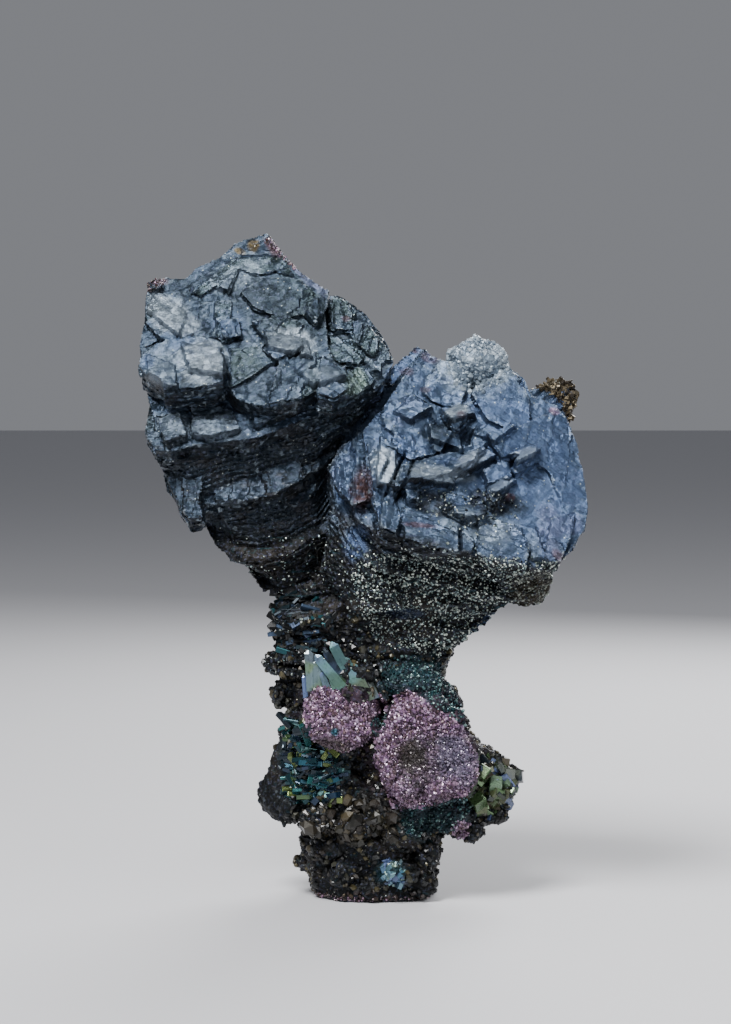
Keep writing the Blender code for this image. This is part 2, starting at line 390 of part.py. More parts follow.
def outline_solid(points, thickness):
    """A bmesh of a flat outline given its thickness, from an extruded 2D curve."""
    curve = bpy.data.curves.new("outline", "CURVE")
    curve.dimensions = "2D"
    curve.fill_mode = "BOTH"
    curve.extrude = thickness / 2
    spline = curve.splines.new("POLY")
    spline.points.add(len(points) - 1)
    for spot, (u, v) in zip(spline.points, points):
        spot.co = (u, v, 0, 1)
    spline.use_cyclic_u = True
    drawn = bpy.data.objects.new("outline", curve)
    bpy.context.scene.collection.objects.link(drawn)
    mesh = finished_mesh(drawn)
    bpy.data.objects.remove(drawn)
    shape = bmesh.new()
    shape.from_mesh(mesh)
    bpy.data.meshes.remove(mesh)
    bmesh.ops.remove_doubles(shape, verts=shape.verts, dist=0.001)
    return shape


def slab(name, cleavage, outline, depth, thickness, group, taper=1.0):
    """A layer whose front rim shows as that outline from the front. Its back is scaled by taper."""
    points = [cleavage.flat(x, z, depth) for x, z in outline]
    shape = outline_solid(points, thickness)
    middle = Vector((sum(u for u, v in points), sum(v for u, v in points), 0)) / len(points)
    for vertex in shape.verts:
        if vertex.co.z < 0:
            vertex.co.xy = middle.xy + (vertex.co.xy - middle.xy) * taper
    shape.transform(cleavage.matrix(depth + thickness / 2))
    return body_from(name, shape, group)


def between(layers, depth):
    """The outline at that depth, between the two drawn outlines that it lies between."""
    for (low, first), (high, second) in zip(layers, layers[1:]):
        if depth <= high:
            share = max(0.0, (depth - low) / (high - low))
            return [(a + (c - a) * share, b + (d - b) * share) for (a, b), (c, d) in zip(first, second)]
    return list(layers[-1][1])


def shaken(outline, draw_in, chance):
    """That outline drawn in towards its middle, with chips out of its corners."""
    middle_x = sum(x for x, z in outline) / len(outline)
    middle_z = sum(z for x, z in outline) / len(outline)
    corners = []
    for x, z in outline:
        kept = 1 - draw_in - LAYER_CHIPPING * chance.random() ** 3
        wide = middle_x + (x - middle_x) * kept + chance.uniform(-LAYER_JITTER, LAYER_JITTER)
        high = middle_z + (z - middle_z) * kept + chance.uniform(-LAYER_JITTER, LAYER_JITTER)
        corners.append((wide, high))
    return corners


def layer(name, cleavage, front, back, depth, thickness, group):
    """A layer whose front rim shows as one outline and whose back rim shows as another."""
    points = [Vector(cleavage.flat(x, z, depth)) for x, z in front]
    ends = [cleavage.flat(x, z, depth + thickness) for x, z in back]
    shape = outline_solid(points, thickness)
    for vertex in shape.verts:
        if vertex.co.z < 0:
            nearest = min(range(len(points)), key=lambda corner: (vertex.co.xy - points[corner]).length)
            vertex.co.xy = ends[nearest]
    bmesh.ops.triangulate(shape, faces=shape.faces)
    shape.transform(cleavage.matrix(depth + thickness / 2))
    return body_from(name, shape, group)


def layer_stack(name, cleavage, layers, thicknesses, group, chance):
    """The layers behind a face: thin ones stand out as lips, and thick ones slope away under them."""
    depth = layers[0][0]
    for number, thickness in enumerate(thicknesses):
        draw_in = chance.uniform(*(LIP_DRAW_IN if thickness < LIP_THICKNESS else LAYER_DRAW_IN))
        front = shaken(between(layers, depth), draw_in, chance)
        back = shaken(between(layers, depth + thickness), draw_in + LAYER_TAPER, chance)
        layer(f"{name}_{number}", cleavage, front, back, depth, thickness + LAYER_OVERLAP, group)
        depth += thickness


def plate(name, face, depth, proud, lean_right, lean_up, outline, group):
    """A thin plate on the layer at that depth, tipped so that it catches the light in its own way."""
    x = sum(x for x, z in outline) / len(outline)
    z = sum(z for x, z in outline) / len(outline)
    tipped = face.normal + Vector((lean_right, 0, lean_up))
    own = Cleavage(face.spot(x, z, depth - proud), tipped)
    slab(name, own, outline, 0.0, proud + PLATE_ROOT, group, PLATE_TAPER)


def hull(name, corners, group):
    shape = bmesh.new()
    for corner in corners:
        shape.verts.new(corner)
    made = bmesh.ops.convex_hull(shape, input=shape.verts)
    loose = {item for item in made["geom_interior"] if isinstance(item, bmesh.types.BMVert)}
    bmesh.ops.delete(shape, geom=list(loose), context="VERTS")
    return body_from(name, shape, group)


def knob(name, centre, radii, jitter, group, chance, detail=2):
    """A lump with flat facets: an icosphere with its corners pushed in and out."""
    shape = bmesh.new()
    bmesh.ops.create_icosphere(shape, subdivisions=detail, radius=1.0)
    turn = Matrix.Rotation(chance.uniform(0, math.tau), 3, Vector((0.3, 0.5, 1)).normalized())
    for vertex in shape.verts:
        away = turn @ vertex.co * (1 + chance.uniform(-jitter, jitter))
        vertex.co = Vector(centre) + Vector(a * r for a, r in zip(away, radii))
    return body_from(name, shape, group)


def cleave(shape, point, away):
    """Cuts off what lies beyond a plane, and closes the cut."""
    geometry = shape.verts[:] + shape.edges[:] + shape.faces[:]
    made = bmesh.ops.bisect_plane(
        shape, geom=geometry, dist=1e-7, plane_co=point, plane_no=away, clear_outer=True
    )
    rim = [item for item in made["geom_cut"] if isinstance(item, bmesh.types.BMEdge)]
    bmesh.ops.holes_fill(shape, edges=rim)


def block(name, centre, size, group, chance):
    """A blocky crystal: a cube stretched, turned and with one corner cleaved off."""
    shape = bmesh.new()
    bmesh.ops.create_cube(shape, size=size)
    stretch = Vector(chance.uniform(*limits) for limits in BLOCK_STRETCH)
    bmesh.ops.scale(shape, vec=stretch, verts=shape.verts)
    away = Vector((chance.choice((-1, 1)), -1, chance.uniform(0.2, 1))).normalized()
    cleave(shape, away * size * BLOCK_CORNER, away)
    yaw = Matrix.Rotation(chance.uniform(-BLOCK_TURN, BLOCK_TURN), 4, "Z")
    roll = Matrix.Rotation(chance.uniform(-BLOCK_TURN, BLOCK_TURN), 4, "Y")
    shape.transform(Matrix.Translation(centre) @ yaw @ roll)
    return body_from(name, shape, group)


def blade(name, low, high, width, thickness, group):
    """A slender six-sided blade, a little narrower at its upper end."""
    low, high = Vector(low), Vector(high)
    length = (high - low).length
    wide, narrow = BLADE_ENDS
    shape = bmesh.new()
    bmesh.ops.create_cone(shape, cap_ends=True, segments=6, radius1=wide, radius2=narrow, depth=length)
    turn = (high - low).to_track_quat("Z", "Y").to_matrix().to_4x4()
    shape.transform(Matrix.Translation((low + high) / 2) @ turn @ Matrix.Diagonal((width, thickness, 1, 1)))
    return body_from(name, shape, group)


def ring_at(height):
    """The stalk's sides (left, right, front, back) at that height."""
    for low, high in zip(STALK_RINGS, STALK_RINGS[1:]):
        if height <= high[0]:
            share = (height - low[0]) / (high[0] - low[0])
            return [a + (b - a) * share for a, b in zip(low[1:], high[1:])]
    return STALK_RINGS[-1][1:]


def ring_spot(height, angle):
    """A spot on the stalk's squarish ring at that height."""
    left, right, front, back = ring_at(height)
    c, s = math.cos(angle), math.sin(angle)
    power = 2 / RING_SQUARENESS
    x = (left + right) / 2 + (right - left) / 2 * math.copysign(abs(c) ** power, c)
    y = (front + back) / 2 + (back - front) / 2 * math.copysign(abs(s) ** power, s)
    return Vector((x, y, height))


def stalk(group, chance):
    """The stalk: ragged rings, wider at the heads and the wings, bridged from the foot up."""
    shape = bmesh.new()
    loops = []
    bottom, top = STALK_RINGS[0][0], STALK_RINGS[-1][0]
    count = round((top - bottom) / RING_SPACING)
    for number in range(count + 1):
        height = bottom + (top - bottom) * number / count
        ring = []
        for step in range(RING_POINTS):
            spot = ring_spot(height, math.tau * (step + 0.5 * (number % 2)) / RING_POINTS)
            shaken = Vector(chance.uniform(-RING_JITTER, RING_JITTER) for axis in range(3))
            shaken.z *= 0.5
            ring.append(shape.verts.new(spot + shaken))
        loops.append([shape.edges.new(pair) for pair in zip(ring, ring[1:] + ring[:1])])
    for lower, upper in zip(loops, loops[1:]):
        bmesh.ops.bridge_loops(shape, edges=lower + upper)
    bmesh.ops.holes_fill(shape, edges=loops[0] + loops[-1])
    bmesh.ops.triangulate(shape, faces=shape.faces)
    return body_from("stalk", shape, group)


def neck_shelves(group, chance):
    """Thin shelves that lie one on another, each with a ragged front rim."""
    for number, (left_height, right_height, left, right, thickness) in enumerate(NECK_SHELVES):
        corners = []
        for share in NECK_SHELF_SPOTS:
            x = left + (right - left) * share
            set_back = NECK_SHELF_SWEEP * (1 - share) ** 2 + chance.uniform(0, NECK_SHELF_RAGGEDNESS)
            corners.append((x, NECK_SHELF_FRONT + set_back))
        corners += [(right, NECK_SHELF_BACK), (left + 0.4, NECK_SHELF_BACK), (left - 0.2, NECK_SHELF_SIDE)]
        shape = outline_solid(corners, thickness)
        slope = (right_height - left_height) / (right - left)
        for vertex in shape.verts:
            vertex.co.z += left_height + slope * (vertex.co.x - left)
        body_from(f"neck_shelf_{number}", shape, group)


def stalk_chips(group, chance):
    """Angular chips sunk into the stalk all round."""
    for number in range(STALK_CHIPS):
        angle = chance.uniform(0, math.tau)
        size = chance.uniform(*STALK_CHIP_SIZE)
        inward = Vector((-math.cos(angle), -math.sin(angle), 0)) * STALK_CHIP_SUNK * size
        centre = ring_spot(chance.uniform(*STALK_CHIP_HEIGHTS), angle) + inward
        wide, tall = (size * chance.uniform(*limits) for limits in STALK_CHIP_STRETCH)
        knob(f"stalk_chip_{number}", centre, (wide, size, tall), STALK_CHIP_JITTER, group, chance, detail=1)


def back_chips(face, layers, thicknesses, label, group, chance):
    """Broken blocks on the back of a head, lying roughly with its layers."""
    back = layers[0][0] + sum(thicknesses)
    rim = layers[-2][1]
    middle_x = sum(x for x, z in rim) / len(rim)
    middle_z = sum(z for x, z in rim) / len(rim)
    for number in range(BACK_CHIPS):
        x, z = rim[(2 * number + 1) % len(rim)]
        share = chance.uniform(*BACK_CHIP_SHARE)
        x, z = middle_x + (x - middle_x) * share, middle_z + (z - middle_z) * share
        size = chance.uniform(*BACK_CHIP_SIZE)
        centre = face.spot(x, z, back - BACK_CHIP_FALL * share)
        corners = []
        for corner in range(BACK_CHIP_CORNERS):
            angle = math.tau * corner / BACK_CHIP_CORNERS
            reach = size * chance.uniform(*BACK_CHIP_SPREAD)
            aside = face.across * math.cos(angle) * reach + face.up * math.sin(angle) * reach
            corners.append(centre + aside + face.normal * chance.uniform(-BACK_CHIP_REACH, BACK_CHIP_REACH))
        hull(f"{label}_back_chip_{number}", corners, group)


def head(label, face, front, layers, thicknesses, plates, step_plates, group, chance):
    """One head: its front layer, the layers behind it, the plates on all of them and its rough back."""
    slab(f"{label}_face", face, front, 0.0, layers[0][0] + LAYER_OVERLAP, group, PLATE_TAPER)
    layer_stack(f"{label}_layer", face, layers, thicknesses, group, chance)
    for number, (proud, right, up, outline) in enumerate(plates):
        plate(f"{label}_plate_{number}", face, 0.0, proud, right, up, outline, group)
    for number, (depth, right, up, proud, outline) in enumerate(step_plates):
        plate(f"{label}_step_{number}", face, depth, proud, right, up, outline, group)
    back_chips(face, layers, thicknesses, label, group, chance)


def left_head(group, chance):
    face = Cleavage(LEFT_FACE_POINT, LEFT_FACE_NORMAL)
    shoulder = (LEFT_SHOULDER, LEFT_SHOULDER_DEPTH, LEFT_SHOULDER_THICKNESS)
    slab("left_shoulder", face, *shoulder, group, LEFT_SHOULDER_TAPER)
    layers = (LEFT_LAYERS, LEFT_LAYER_THICKNESS)
    head("left", face, LEFT_FACE_OUTLINE, *layers, LEFT_PLATES, LEFT_STEP_PLATES, group, chance)


def right_head(group, chance):
    face = Cleavage(RIGHT_FACE_POINT, RIGHT_FACE_NORMAL)
    layers = (RIGHT_LAYERS, RIGHT_LAYER_THICKNESS)
    head("right", face, RIGHT_FACE_OUTLINE, *layers, RIGHT_PLATES, RIGHT_STEP_PLATES, group, chance)


def druse_domes(group, chance):
    """The two velvety domes: a round one, and a broader shell that leans back to the right."""
    centre, radii = LEFT_DRUSE
    knob("left_druse", centre, radii, DRUSE_LUMP_JITTER / 2, group, chance)
    lumps = list(LEFT_DRUSE_LUMPS)
    face = Cleavage(RIGHT_DRUSE_POINT, RIGHT_DRUSE_NORMAL)
    slab("right_druse", face, RIGHT_DRUSE_OUTLINE, 0.0, RIGHT_DRUSE_THICKNESS, group)
    lumps += [(face.spot(x, z, RIGHT_DRUSE_LUMP_DEPTH), size) for x, z, size in RIGHT_DRUSE_LUMPS]
    for number, (spot, size) in enumerate(lumps):
        radii = (size, size * DRUSE_LUMP_FLATNESS, size)
        knob(f"druse_lump_{number}", spot, radii, DRUSE_LUMP_JITTER, group, chance)


def cut_foot(mesh):
    """Breaks the foot off flat at the surface that the specimen stands on."""
    shape = bmesh.new()
    shape.from_mesh(mesh)
    cleave(shape, (0, 0, 0), (0, 0, -1))
    return shape


def keep_outer_skin(shape):
    """Leaves out sealed pockets and stray crumbs: only the widest closed skin is kept."""
    unseen = set(shape.verts)
    skins = []
    while unseen:
        skin, todo = [], [unseen.pop()]
        while todo:
            vertex = todo.pop()
            skin.append(vertex)
            for edge in vertex.link_edges:
                other = edge.other_vert(vertex)
                if other in unseen:
                    unseen.remove(other)
                    todo.append(other)
        skins.append(skin)
    skins.sort(key=lambda skin: max(v.co.z for v in skin) - min(v.co.z for v in skin))
    for skin in skins[:-1]:
        bmesh.ops.delete(shape, geom=skin, context="VERTS")


def ore_material():
    """Dark steel-blue tarnish, between metal and enamel."""
    material = bpy.data.materials.new("tarnished_ore")
    material.use_nodes = True
    surface = material.node_tree.nodes["Principled BSDF"]
    surface.inputs["Base Color"].default_value = (0.09, 0.13, 0.18, 1)
    surface.inputs["Metallic"].default_value = 0.65
    surface.inputs["Roughness"].default_value = 0.42
    return material


def join_bodies(pieces, hollows, group):
    """Joins everything that grew together into the one solid, then sinks the hollows in it."""
    core = pieces.objects["stalk"]
    pieces.objects.unlink(core)
    group.objects.link(core)
    steps = (("grown_together", "UNION", pieces), ("hollows", "DIFFERENCE", hollows))
    for name, operation, operands in steps:
        step = core.modifiers.new(name, "BOOLEAN")
        step.operation = operation
        step.operand_type = "COLLECTION"
        step.collection = operands
        step.solver = "EXACT"
    mesh = finished_mesh(core)
    shape = cut_foot(mesh)
    bpy.data.meshes.remove(mesh)
    bmesh.ops.triangulate(shape, faces=shape.faces)
    bmesh.ops.remove_doubles(shape, verts=shape.verts, dist=SLIVER)
    bmesh.ops.dissolve_degenerate(shape, edges=shape.edges, dist=SLIVER)
    keep_outer_skin(shape)
    joined = bpy.data.meshes.new("peacock_ore")
    shape.to_mesh(joined)
    shape.free()
    core.modifiers.clear()
    core.data = joined
    lighter = core.modifiers.new("fewer_slivers", "DECIMATE")
    lighter.ratio = KEPT_SHARE
    ore = bpy.data.objects.new("peacock_ore", finished_mesh(core))
    bpy.data.objects.remove(core)
    ore.data.shade_flat()
    ore.data.materials.clear()
    ore.data.materials.append(ore_material())
    group.objects.link(ore)
    return ore


def single_bodies(group, chance):
    """The bodies that are drawn one by one: wings and lobes, knobs, blades and blocky crystals."""
    for name, corners in HULLS.items():
        hull(name, corners, group)
    for number, (centre, radii, jitter) in enumerate(KNOBS):
        knob(f"knob_{number}", centre, radii, jitter, group, chance)
    for number, (low, high, width, thickness) in enumerate(BLADES):
        blade(f"blade_{number}", low, high, width, thickness, group)
    for number, (centre, size) in enumerate(BLOCKS):
        block(f"block_{number}", centre, size, group, chance)


def hollow_cutters(group, chance):
    for number, (centre, radii) in enumerate(HOLLOWS):
        cutter = knob(f"hollow_{number}", centre, radii, HOLLOW_JITTER, group, chance)
        cutter.hide_render = True
        cutter.display_type = "WIRE"


def main():
    clear_scene()
    chance = random.Random(SEED)
    specimen = bpy.data.collections.new("peacock_ore_specimen")
    bodies = bpy.data.collections.new("bodies_to_join")
    hollows = bpy.data.collections.new("hollows")
    for group in (specimen, bodies, hollows):
        bpy.context.scene.collection.children.link(group)
    stalk(bodies, chance)
    left_head(bodies, chance)
    right_head(bodies, chance)
    single_bodies(bodies, chance)
    druse_domes(bodies, chance)
    neck_shelves(bodies, chance)
    stalk_chips(bodies, chance)
    hollow_cutters(hollows, chance)
    ore = join_bodies(bodies, hollows, specimen)
    for leftover in list(bodies.objects):
        bpy.data.objects.remove(leftover, do_unlink=True)
    bpy.data.collections.remove(bodies)
    print("peacock_ore:", len(ore.data.polygons), "triangles")


main()
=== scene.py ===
# %% [markdown]
# # Peacock ore on its broken foot
# This lesson dresses one small mineral specimen: copper ore with a rainbow tarnish, 67 mm tall. The
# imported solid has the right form, but only ten thousand flat triangles. It could be painted as it is,
# but the charm of the real thing is in steps, grains and tiny crystals, so it gets a finer skin first.

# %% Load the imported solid
import math

import bpy
import numpy as np
from mathutils import Matrix, Vector


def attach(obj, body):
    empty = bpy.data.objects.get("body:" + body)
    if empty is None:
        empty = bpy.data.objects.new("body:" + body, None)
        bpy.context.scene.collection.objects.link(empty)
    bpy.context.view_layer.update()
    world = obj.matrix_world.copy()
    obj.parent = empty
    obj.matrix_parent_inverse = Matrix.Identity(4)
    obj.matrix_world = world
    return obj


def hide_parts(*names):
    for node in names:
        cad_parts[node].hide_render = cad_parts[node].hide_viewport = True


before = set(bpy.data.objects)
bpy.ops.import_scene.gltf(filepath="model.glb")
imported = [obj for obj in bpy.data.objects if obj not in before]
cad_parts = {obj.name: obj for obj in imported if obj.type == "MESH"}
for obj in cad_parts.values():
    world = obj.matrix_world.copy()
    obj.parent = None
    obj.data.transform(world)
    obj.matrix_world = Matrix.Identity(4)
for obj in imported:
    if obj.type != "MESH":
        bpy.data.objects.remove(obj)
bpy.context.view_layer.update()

MM = 0.001

# %% [markdown]
# ## One thing selected at a time
# Operators act on whatever is selected, and the loaded solid still is. Each step therefore starts by
# selecting just the object that it works on.

# %% Select one object, edit it and cut it
HAIR = 1e-6  # metres: corners closer than this are one corner


def linked(name, data):
    """Adds an object with that data to the scene."""
    thing = bpy.data.objects.new(name, data)
    bpy.context.scene.collection.objects.link(thing)
    return thing


def only(thing):
    """Selects one object and makes it active, in object mode."""
    if bpy.context.mode != "OBJECT":
        bpy.ops.object.mode_set(mode="OBJECT")
    bpy.ops.object.select_all(action="DESELECT")
    thing.select_set(True)
    bpy.context.view_layer.objects.active = thing


def in_edit(thing, chosen="SELECT"):
    """Goes to edit mode with all faces selected, or none."""
    only(thing)
    bpy.ops.object.mode_set(mode="EDIT")
    bpy.ops.mesh.select_mode(type="FACE")
    bpy.ops.mesh.select_all(action=chosen)


def cut_away(thing, point, way):
    """Takes away what lies beyond a plane, whose place is in millimetres, and closes the cut."""
    in_edit(thing)
    bpy.ops.mesh.bisect(plane_co=Vector(point) * MM, plane_no=way, use_fill=True, clear_outer=True,
                        threshold=HAIR)
    bpy.ops.object.mode_set(mode="OBJECT")


def finish_modifiers(thing):
    """Applies every modifier of one object, from the top."""
    only(thing)
    for step in list(thing.modifiers):
        bpy.ops.object.modifier_apply(modifier=step.name)


# %% [markdown]
# ## A finer skin over the same form
# The solid's long triangles can't carry small steps. They could be subdivided, but that gives slivers
# of every shape. A voxel remesh lays an even net of small squares over the same form instead.

# %% Remesh a copy of the solid
SKIN = 0.17  # millimetres from corner to corner of the net

rough = linked("rough_ore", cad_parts["peacock_ore"].data.copy())
in_edit(rough)
bpy.ops.mesh.remove_doubles(threshold=HAIR)
bpy.ops.object.mode_set(mode="OBJECT")
net = rough.modifiers.new("net", "REMESH")
net.mode = "VOXEL"
net.voxel_size = SKIN * MM
finish_modifiers(rough)
print("skin:", len(rough.data.vertices), "corners,", len(rough.data.polygons), "faces")

# %% [markdown]
# ## Where each kind of surface lies
# The heads cleave into flat steps, and the stalk is a crust of grains. A vertex group says how much a
# corner belongs to each. The groove between the two heads is a few points, seen from the front.

# %% Measure the skin and make the vertex groups
GROOVE_HEIGHTS = (25.0, 34.6, 43.6, 54.6, 70.0)
GROOVE_ACROSS = (-3.0, -3.3, -4.8, 1.7, 9.0)


def soft_step(value, low, high):
    """0 below low, 1 above high and a smooth rise between them."""
    share = np.clip((value - low) / (high - low), 0, 1)
    return share * share * (3 - 2 * share)


def corners_of(thing):
    """The corners of a mesh in millimetres and the directions they face, as two arrays."""
    count = len(thing.data.vertices)
    spots, ways = np.empty(3 * count), np.empty(3 * count)
    thing.data.vertices.foreach_get("co", spots)
    thing.data.vertices.foreach_get("normal", ways)
    return spots.reshape(-1, 3) / MM, ways.reshape(-1, 3)


def weigh(thing, name, weights, steps=20):
    """Makes a vertex group from one weight per corner, rounded to that many steps."""
    group = thing.vertex_groups.new(name=name)
    levels = np.rint(weights * steps).astype(int)
    for level in range(1, steps + 1):
        chosen = np.nonzero(levels == level)[0].tolist()
        if chosen:
            group.add(chosen, level / steps, "REPLACE")
    print(f"{name}: {100 * float(np.mean(weights)):.0f} % of the skin")


spots, ways = corners_of(rough)
groove = np.interp(spots[:, 2], GROOVE_HEIGHTS, GROOVE_ACROSS)
right_of_groove = soft_step(spots[:, 0] - groove, -0.6, 0.6)
in_head = soft_step(spots[:, 2], 27.0, 35.0)
facing_down = soft_step(-ways[:, 2], 0.1, 0.7)
facing_back = soft_step(ways[:, 1], 0.3, 0.8)
weigh(rough, "left_head", in_head * (1 - right_of_groove))
weigh(rough, "right_head", in_head * right_of_groove)
weigh(rough, "crust", 1 - in_head * (1 - 0.35 * facing_down) * (1 - 0.7 * facing_back))

# %% [markdown]
# ## Node maths written as Python
# Carving and colours are both recipes of Math and texture nodes. Wiring each by hand hides the idea
# behind the wires, so one small class wraps a socket and overloads the operators. Then 1 - mask * 0.5
# is written as it is meant.

# %% The socket that can be reckoned with


class Value:
    """A socket in a recipe. An expression on values adds its Math nodes."""

    def __init__(self, recipe, socket):
        self.recipe = recipe
        self.socket = socket

    def math(self, operation, *others):
        return self.recipe.reckoned(operation, self, *others)

    def __add__(self, other):
        return self.math("ADD", other)

    def __mul__(self, other):
        return self.math("MULTIPLY", other)

    def __sub__(self, other):
        return self.math("SUBTRACT", other)

    def __rsub__(self, other):
        return self.recipe.reckoned("SUBTRACT", other, self)

    __radd__ = __add__
    __rmul__ = __mul__

    def rise(self, low, high):
        """0 below low, 1 above high and a smooth rise between them; low may be the higher one."""
        return self.recipe.smooth(self, low, high, 1.0)


# %% [markdown]
# ## Axes of a face
# Each head has one flat side that the eye takes as its front, and its plates lie parallel to it. The
# face's own axes can be turned in its plane, because the plates of the right head are turned too.

# %% The two faces and their axes
LEFT_FACE = ((-13.0, -7.5, 56.0), (0.02, -0.85, 0.53))
RIGHT_FACE = ((8.0, -8.5, 45.0), (0.08, -0.90, 0.42))


def face_axes(looks, turn=0.0):
    """A face's own axes as the columns of a matrix: across, up and out of it, turned in its plane."""
    out = Vector(looks).normalized()
    up = (Vector((0, 0, 1)) - out.z * out).normalized()
    return Matrix((up.cross(out), up, out)).transposed() @ Matrix.Rotation(math.radians(turn), 3, "Z")


def turned(turn):
    """Across, out and up as seen from the front, turned clockwise by that many degrees."""
    return Matrix.Rotation(math.radians(turn), 3, "Y").col


# %% A tree of nodes and its patterns, all in millimetres


class Recipe:
    """A tree of nodes, and the patterns that carving and finishes are made of."""

    def __init__(self, tree, place, way):
        self.tree = tree
        self.place = self.vector("SCALE", self.node(*place), scale=1 / MM)
        self.x, self.y, self.z = self.parts(self.place)
        self.way = self.node(*way)
        self.fray = self.noise(1.6, detail=5, rough=0.62)
        self.ragged = (self.fray - 0.5) * 1.3

    def node(self, kind, settings, inputs, output=0):
        """Adds a node of that kind: settings first, then the values or links of its sockets."""
        made = self.tree.nodes.new(kind)
        for setting, value in settings.items():
            if setting == "stops":
                points = made.color_ramp.elements
                for stop, (spot, shade) in enumerate(value):
                    point = points[stop] if stop < 2 else points.new(spot)
                    point.position, point.color = spot, shade
            elif setting == "steps":
                made.color_ramp.interpolation = value
            else:
                setattr(made, setting, value)
        for socket, value in inputs.items() if isinstance(inputs, dict) else enumerate(inputs):
            if isinstance(value, Value):
                self.tree.links.new(value.socket, made.inputs[socket])
            else:
                made.inputs[socket].default_value = value
        return Value(self, made.outputs[output])

    def reckoned(self, operation, *values):
        return self.node("ShaderNodeMath", {"operation": operation}, values)

    def smooth(self, value, low, high, top):
        """0 at low, top at high and a smooth rise between them."""
        inputs = {0: value, "From Min": low, "From Max": high, "To Max": top}
        return self.node("ShaderNodeMapRange", {"interpolation_type": "SMOOTHSTEP"}, inputs)

    def vector(self, operation, first, second=(0, 0, 0), scale=1.0, output=0):
        inputs = {0: first, 1: second, 3: scale}
        return self.node("ShaderNodeVectorMath", {"operation": operation}, inputs, output)

    def dot(self, first, second):
        return self.vector("DOT_PRODUCT", first, second, output="Value")

    def parts(self, vector):
        return [self.node("ShaderNodeSeparateXYZ", {}, [vector], axis) for axis in "XYZ"]

    def joined(self, *parts):
        return self.node("ShaderNodeCombineXYZ", {}, parts)

    def along(self, face, turn=0.0):
        """How far a point lies across, up and out along a face's own turned axes."""
        from_point = self.vector("SUBTRACT", self.place, face[0])
        axes = face_axes(face[1], turn).transposed()
        return [self.dot(from_point, axis) for axis in axes]

    def noise(self, size, detail=3.0, rough=0.55, place=None, offset=0.0, output=0):
        """Clouds of that size; an offset picks another part of the same noise."""
        place = place or self.place
        if offset:
            place = self.vector("ADD", place, (offset, offset * 0.7, -offset))
        inputs = {"Vector": place, "Scale": 1 / size, "Detail": detail, "Roughness": rough}
        return self.node("ShaderNodeTexNoise", {}, inputs, output)

    def cells(self, size, place=None, output="Color", metric="EUCLIDEAN"):
        """Cells of that size: one colour for each, the place of its middle or the distance to it."""
        inputs = {"Vector": place or self.place, "Scale": 1 / size}
        return self.node("ShaderNodeTexVoronoi", {"distance": metric}, inputs, output)

    def lot(self, *parts):
        """One random number for each different set of numbers."""
        return self.node("ShaderNodeTexWhiteNoise", {}, [self.joined(*parts)])

    def patch(self, x, z, wide, tall, turn=0.0, strength=1.0):
        """As much as its strength inside an oval seen from the front, with a frayed edge."""
        axes = turned(turn)
        across, up = axes[0] / wide, axes[2] / tall
        spot = Vector((x, 0, z))
        middle = (across.dot(spot), 0, up.dot(spot))
        place = self.joined(self.dot(self.place, across), 0.0, self.dot(self.place, up))
        reach = self.vector("DISTANCE", place, middle, output="Value") + self.ragged
        return self.smooth(reach, 1.35, 0.65, strength)

    def slab(self, x, z, wide, tall, turn):
        """1 inside a slanted four-sided figure seen from the front, and how high a point lies in it."""
        axes = turned(turn)
        from_middle = self.vector("SUBTRACT", self.place, (x, 0, z))
        across, up = self.dot(from_middle, axes[0] + axes[2] * 0.5), self.dot(from_middle, axes[2])
        sides = [(reach * (1 / half)).math("ABSOLUTE") for reach, half in ((across, wide), (up, tall))]
        reach = sides[0].math("MAXIMUM", sides[1])
        return (reach + self.ragged * 0.25).rise(1.05, 0.93), up


# %% [markdown]
# ## Cleavage steps
# Real cleavage breaks along parallel planes, so a plate is flat and ends at a ragged lip. Rounding the
# height above the face down to the next plane does that. Each plate's planes lean a little their own
# way, and a wandering noise frays their ends. After the rounding the leaning is taken off again, and a
# little more, the tip, so that neighbours catch the light differently.

# %% Carve by rounding heights


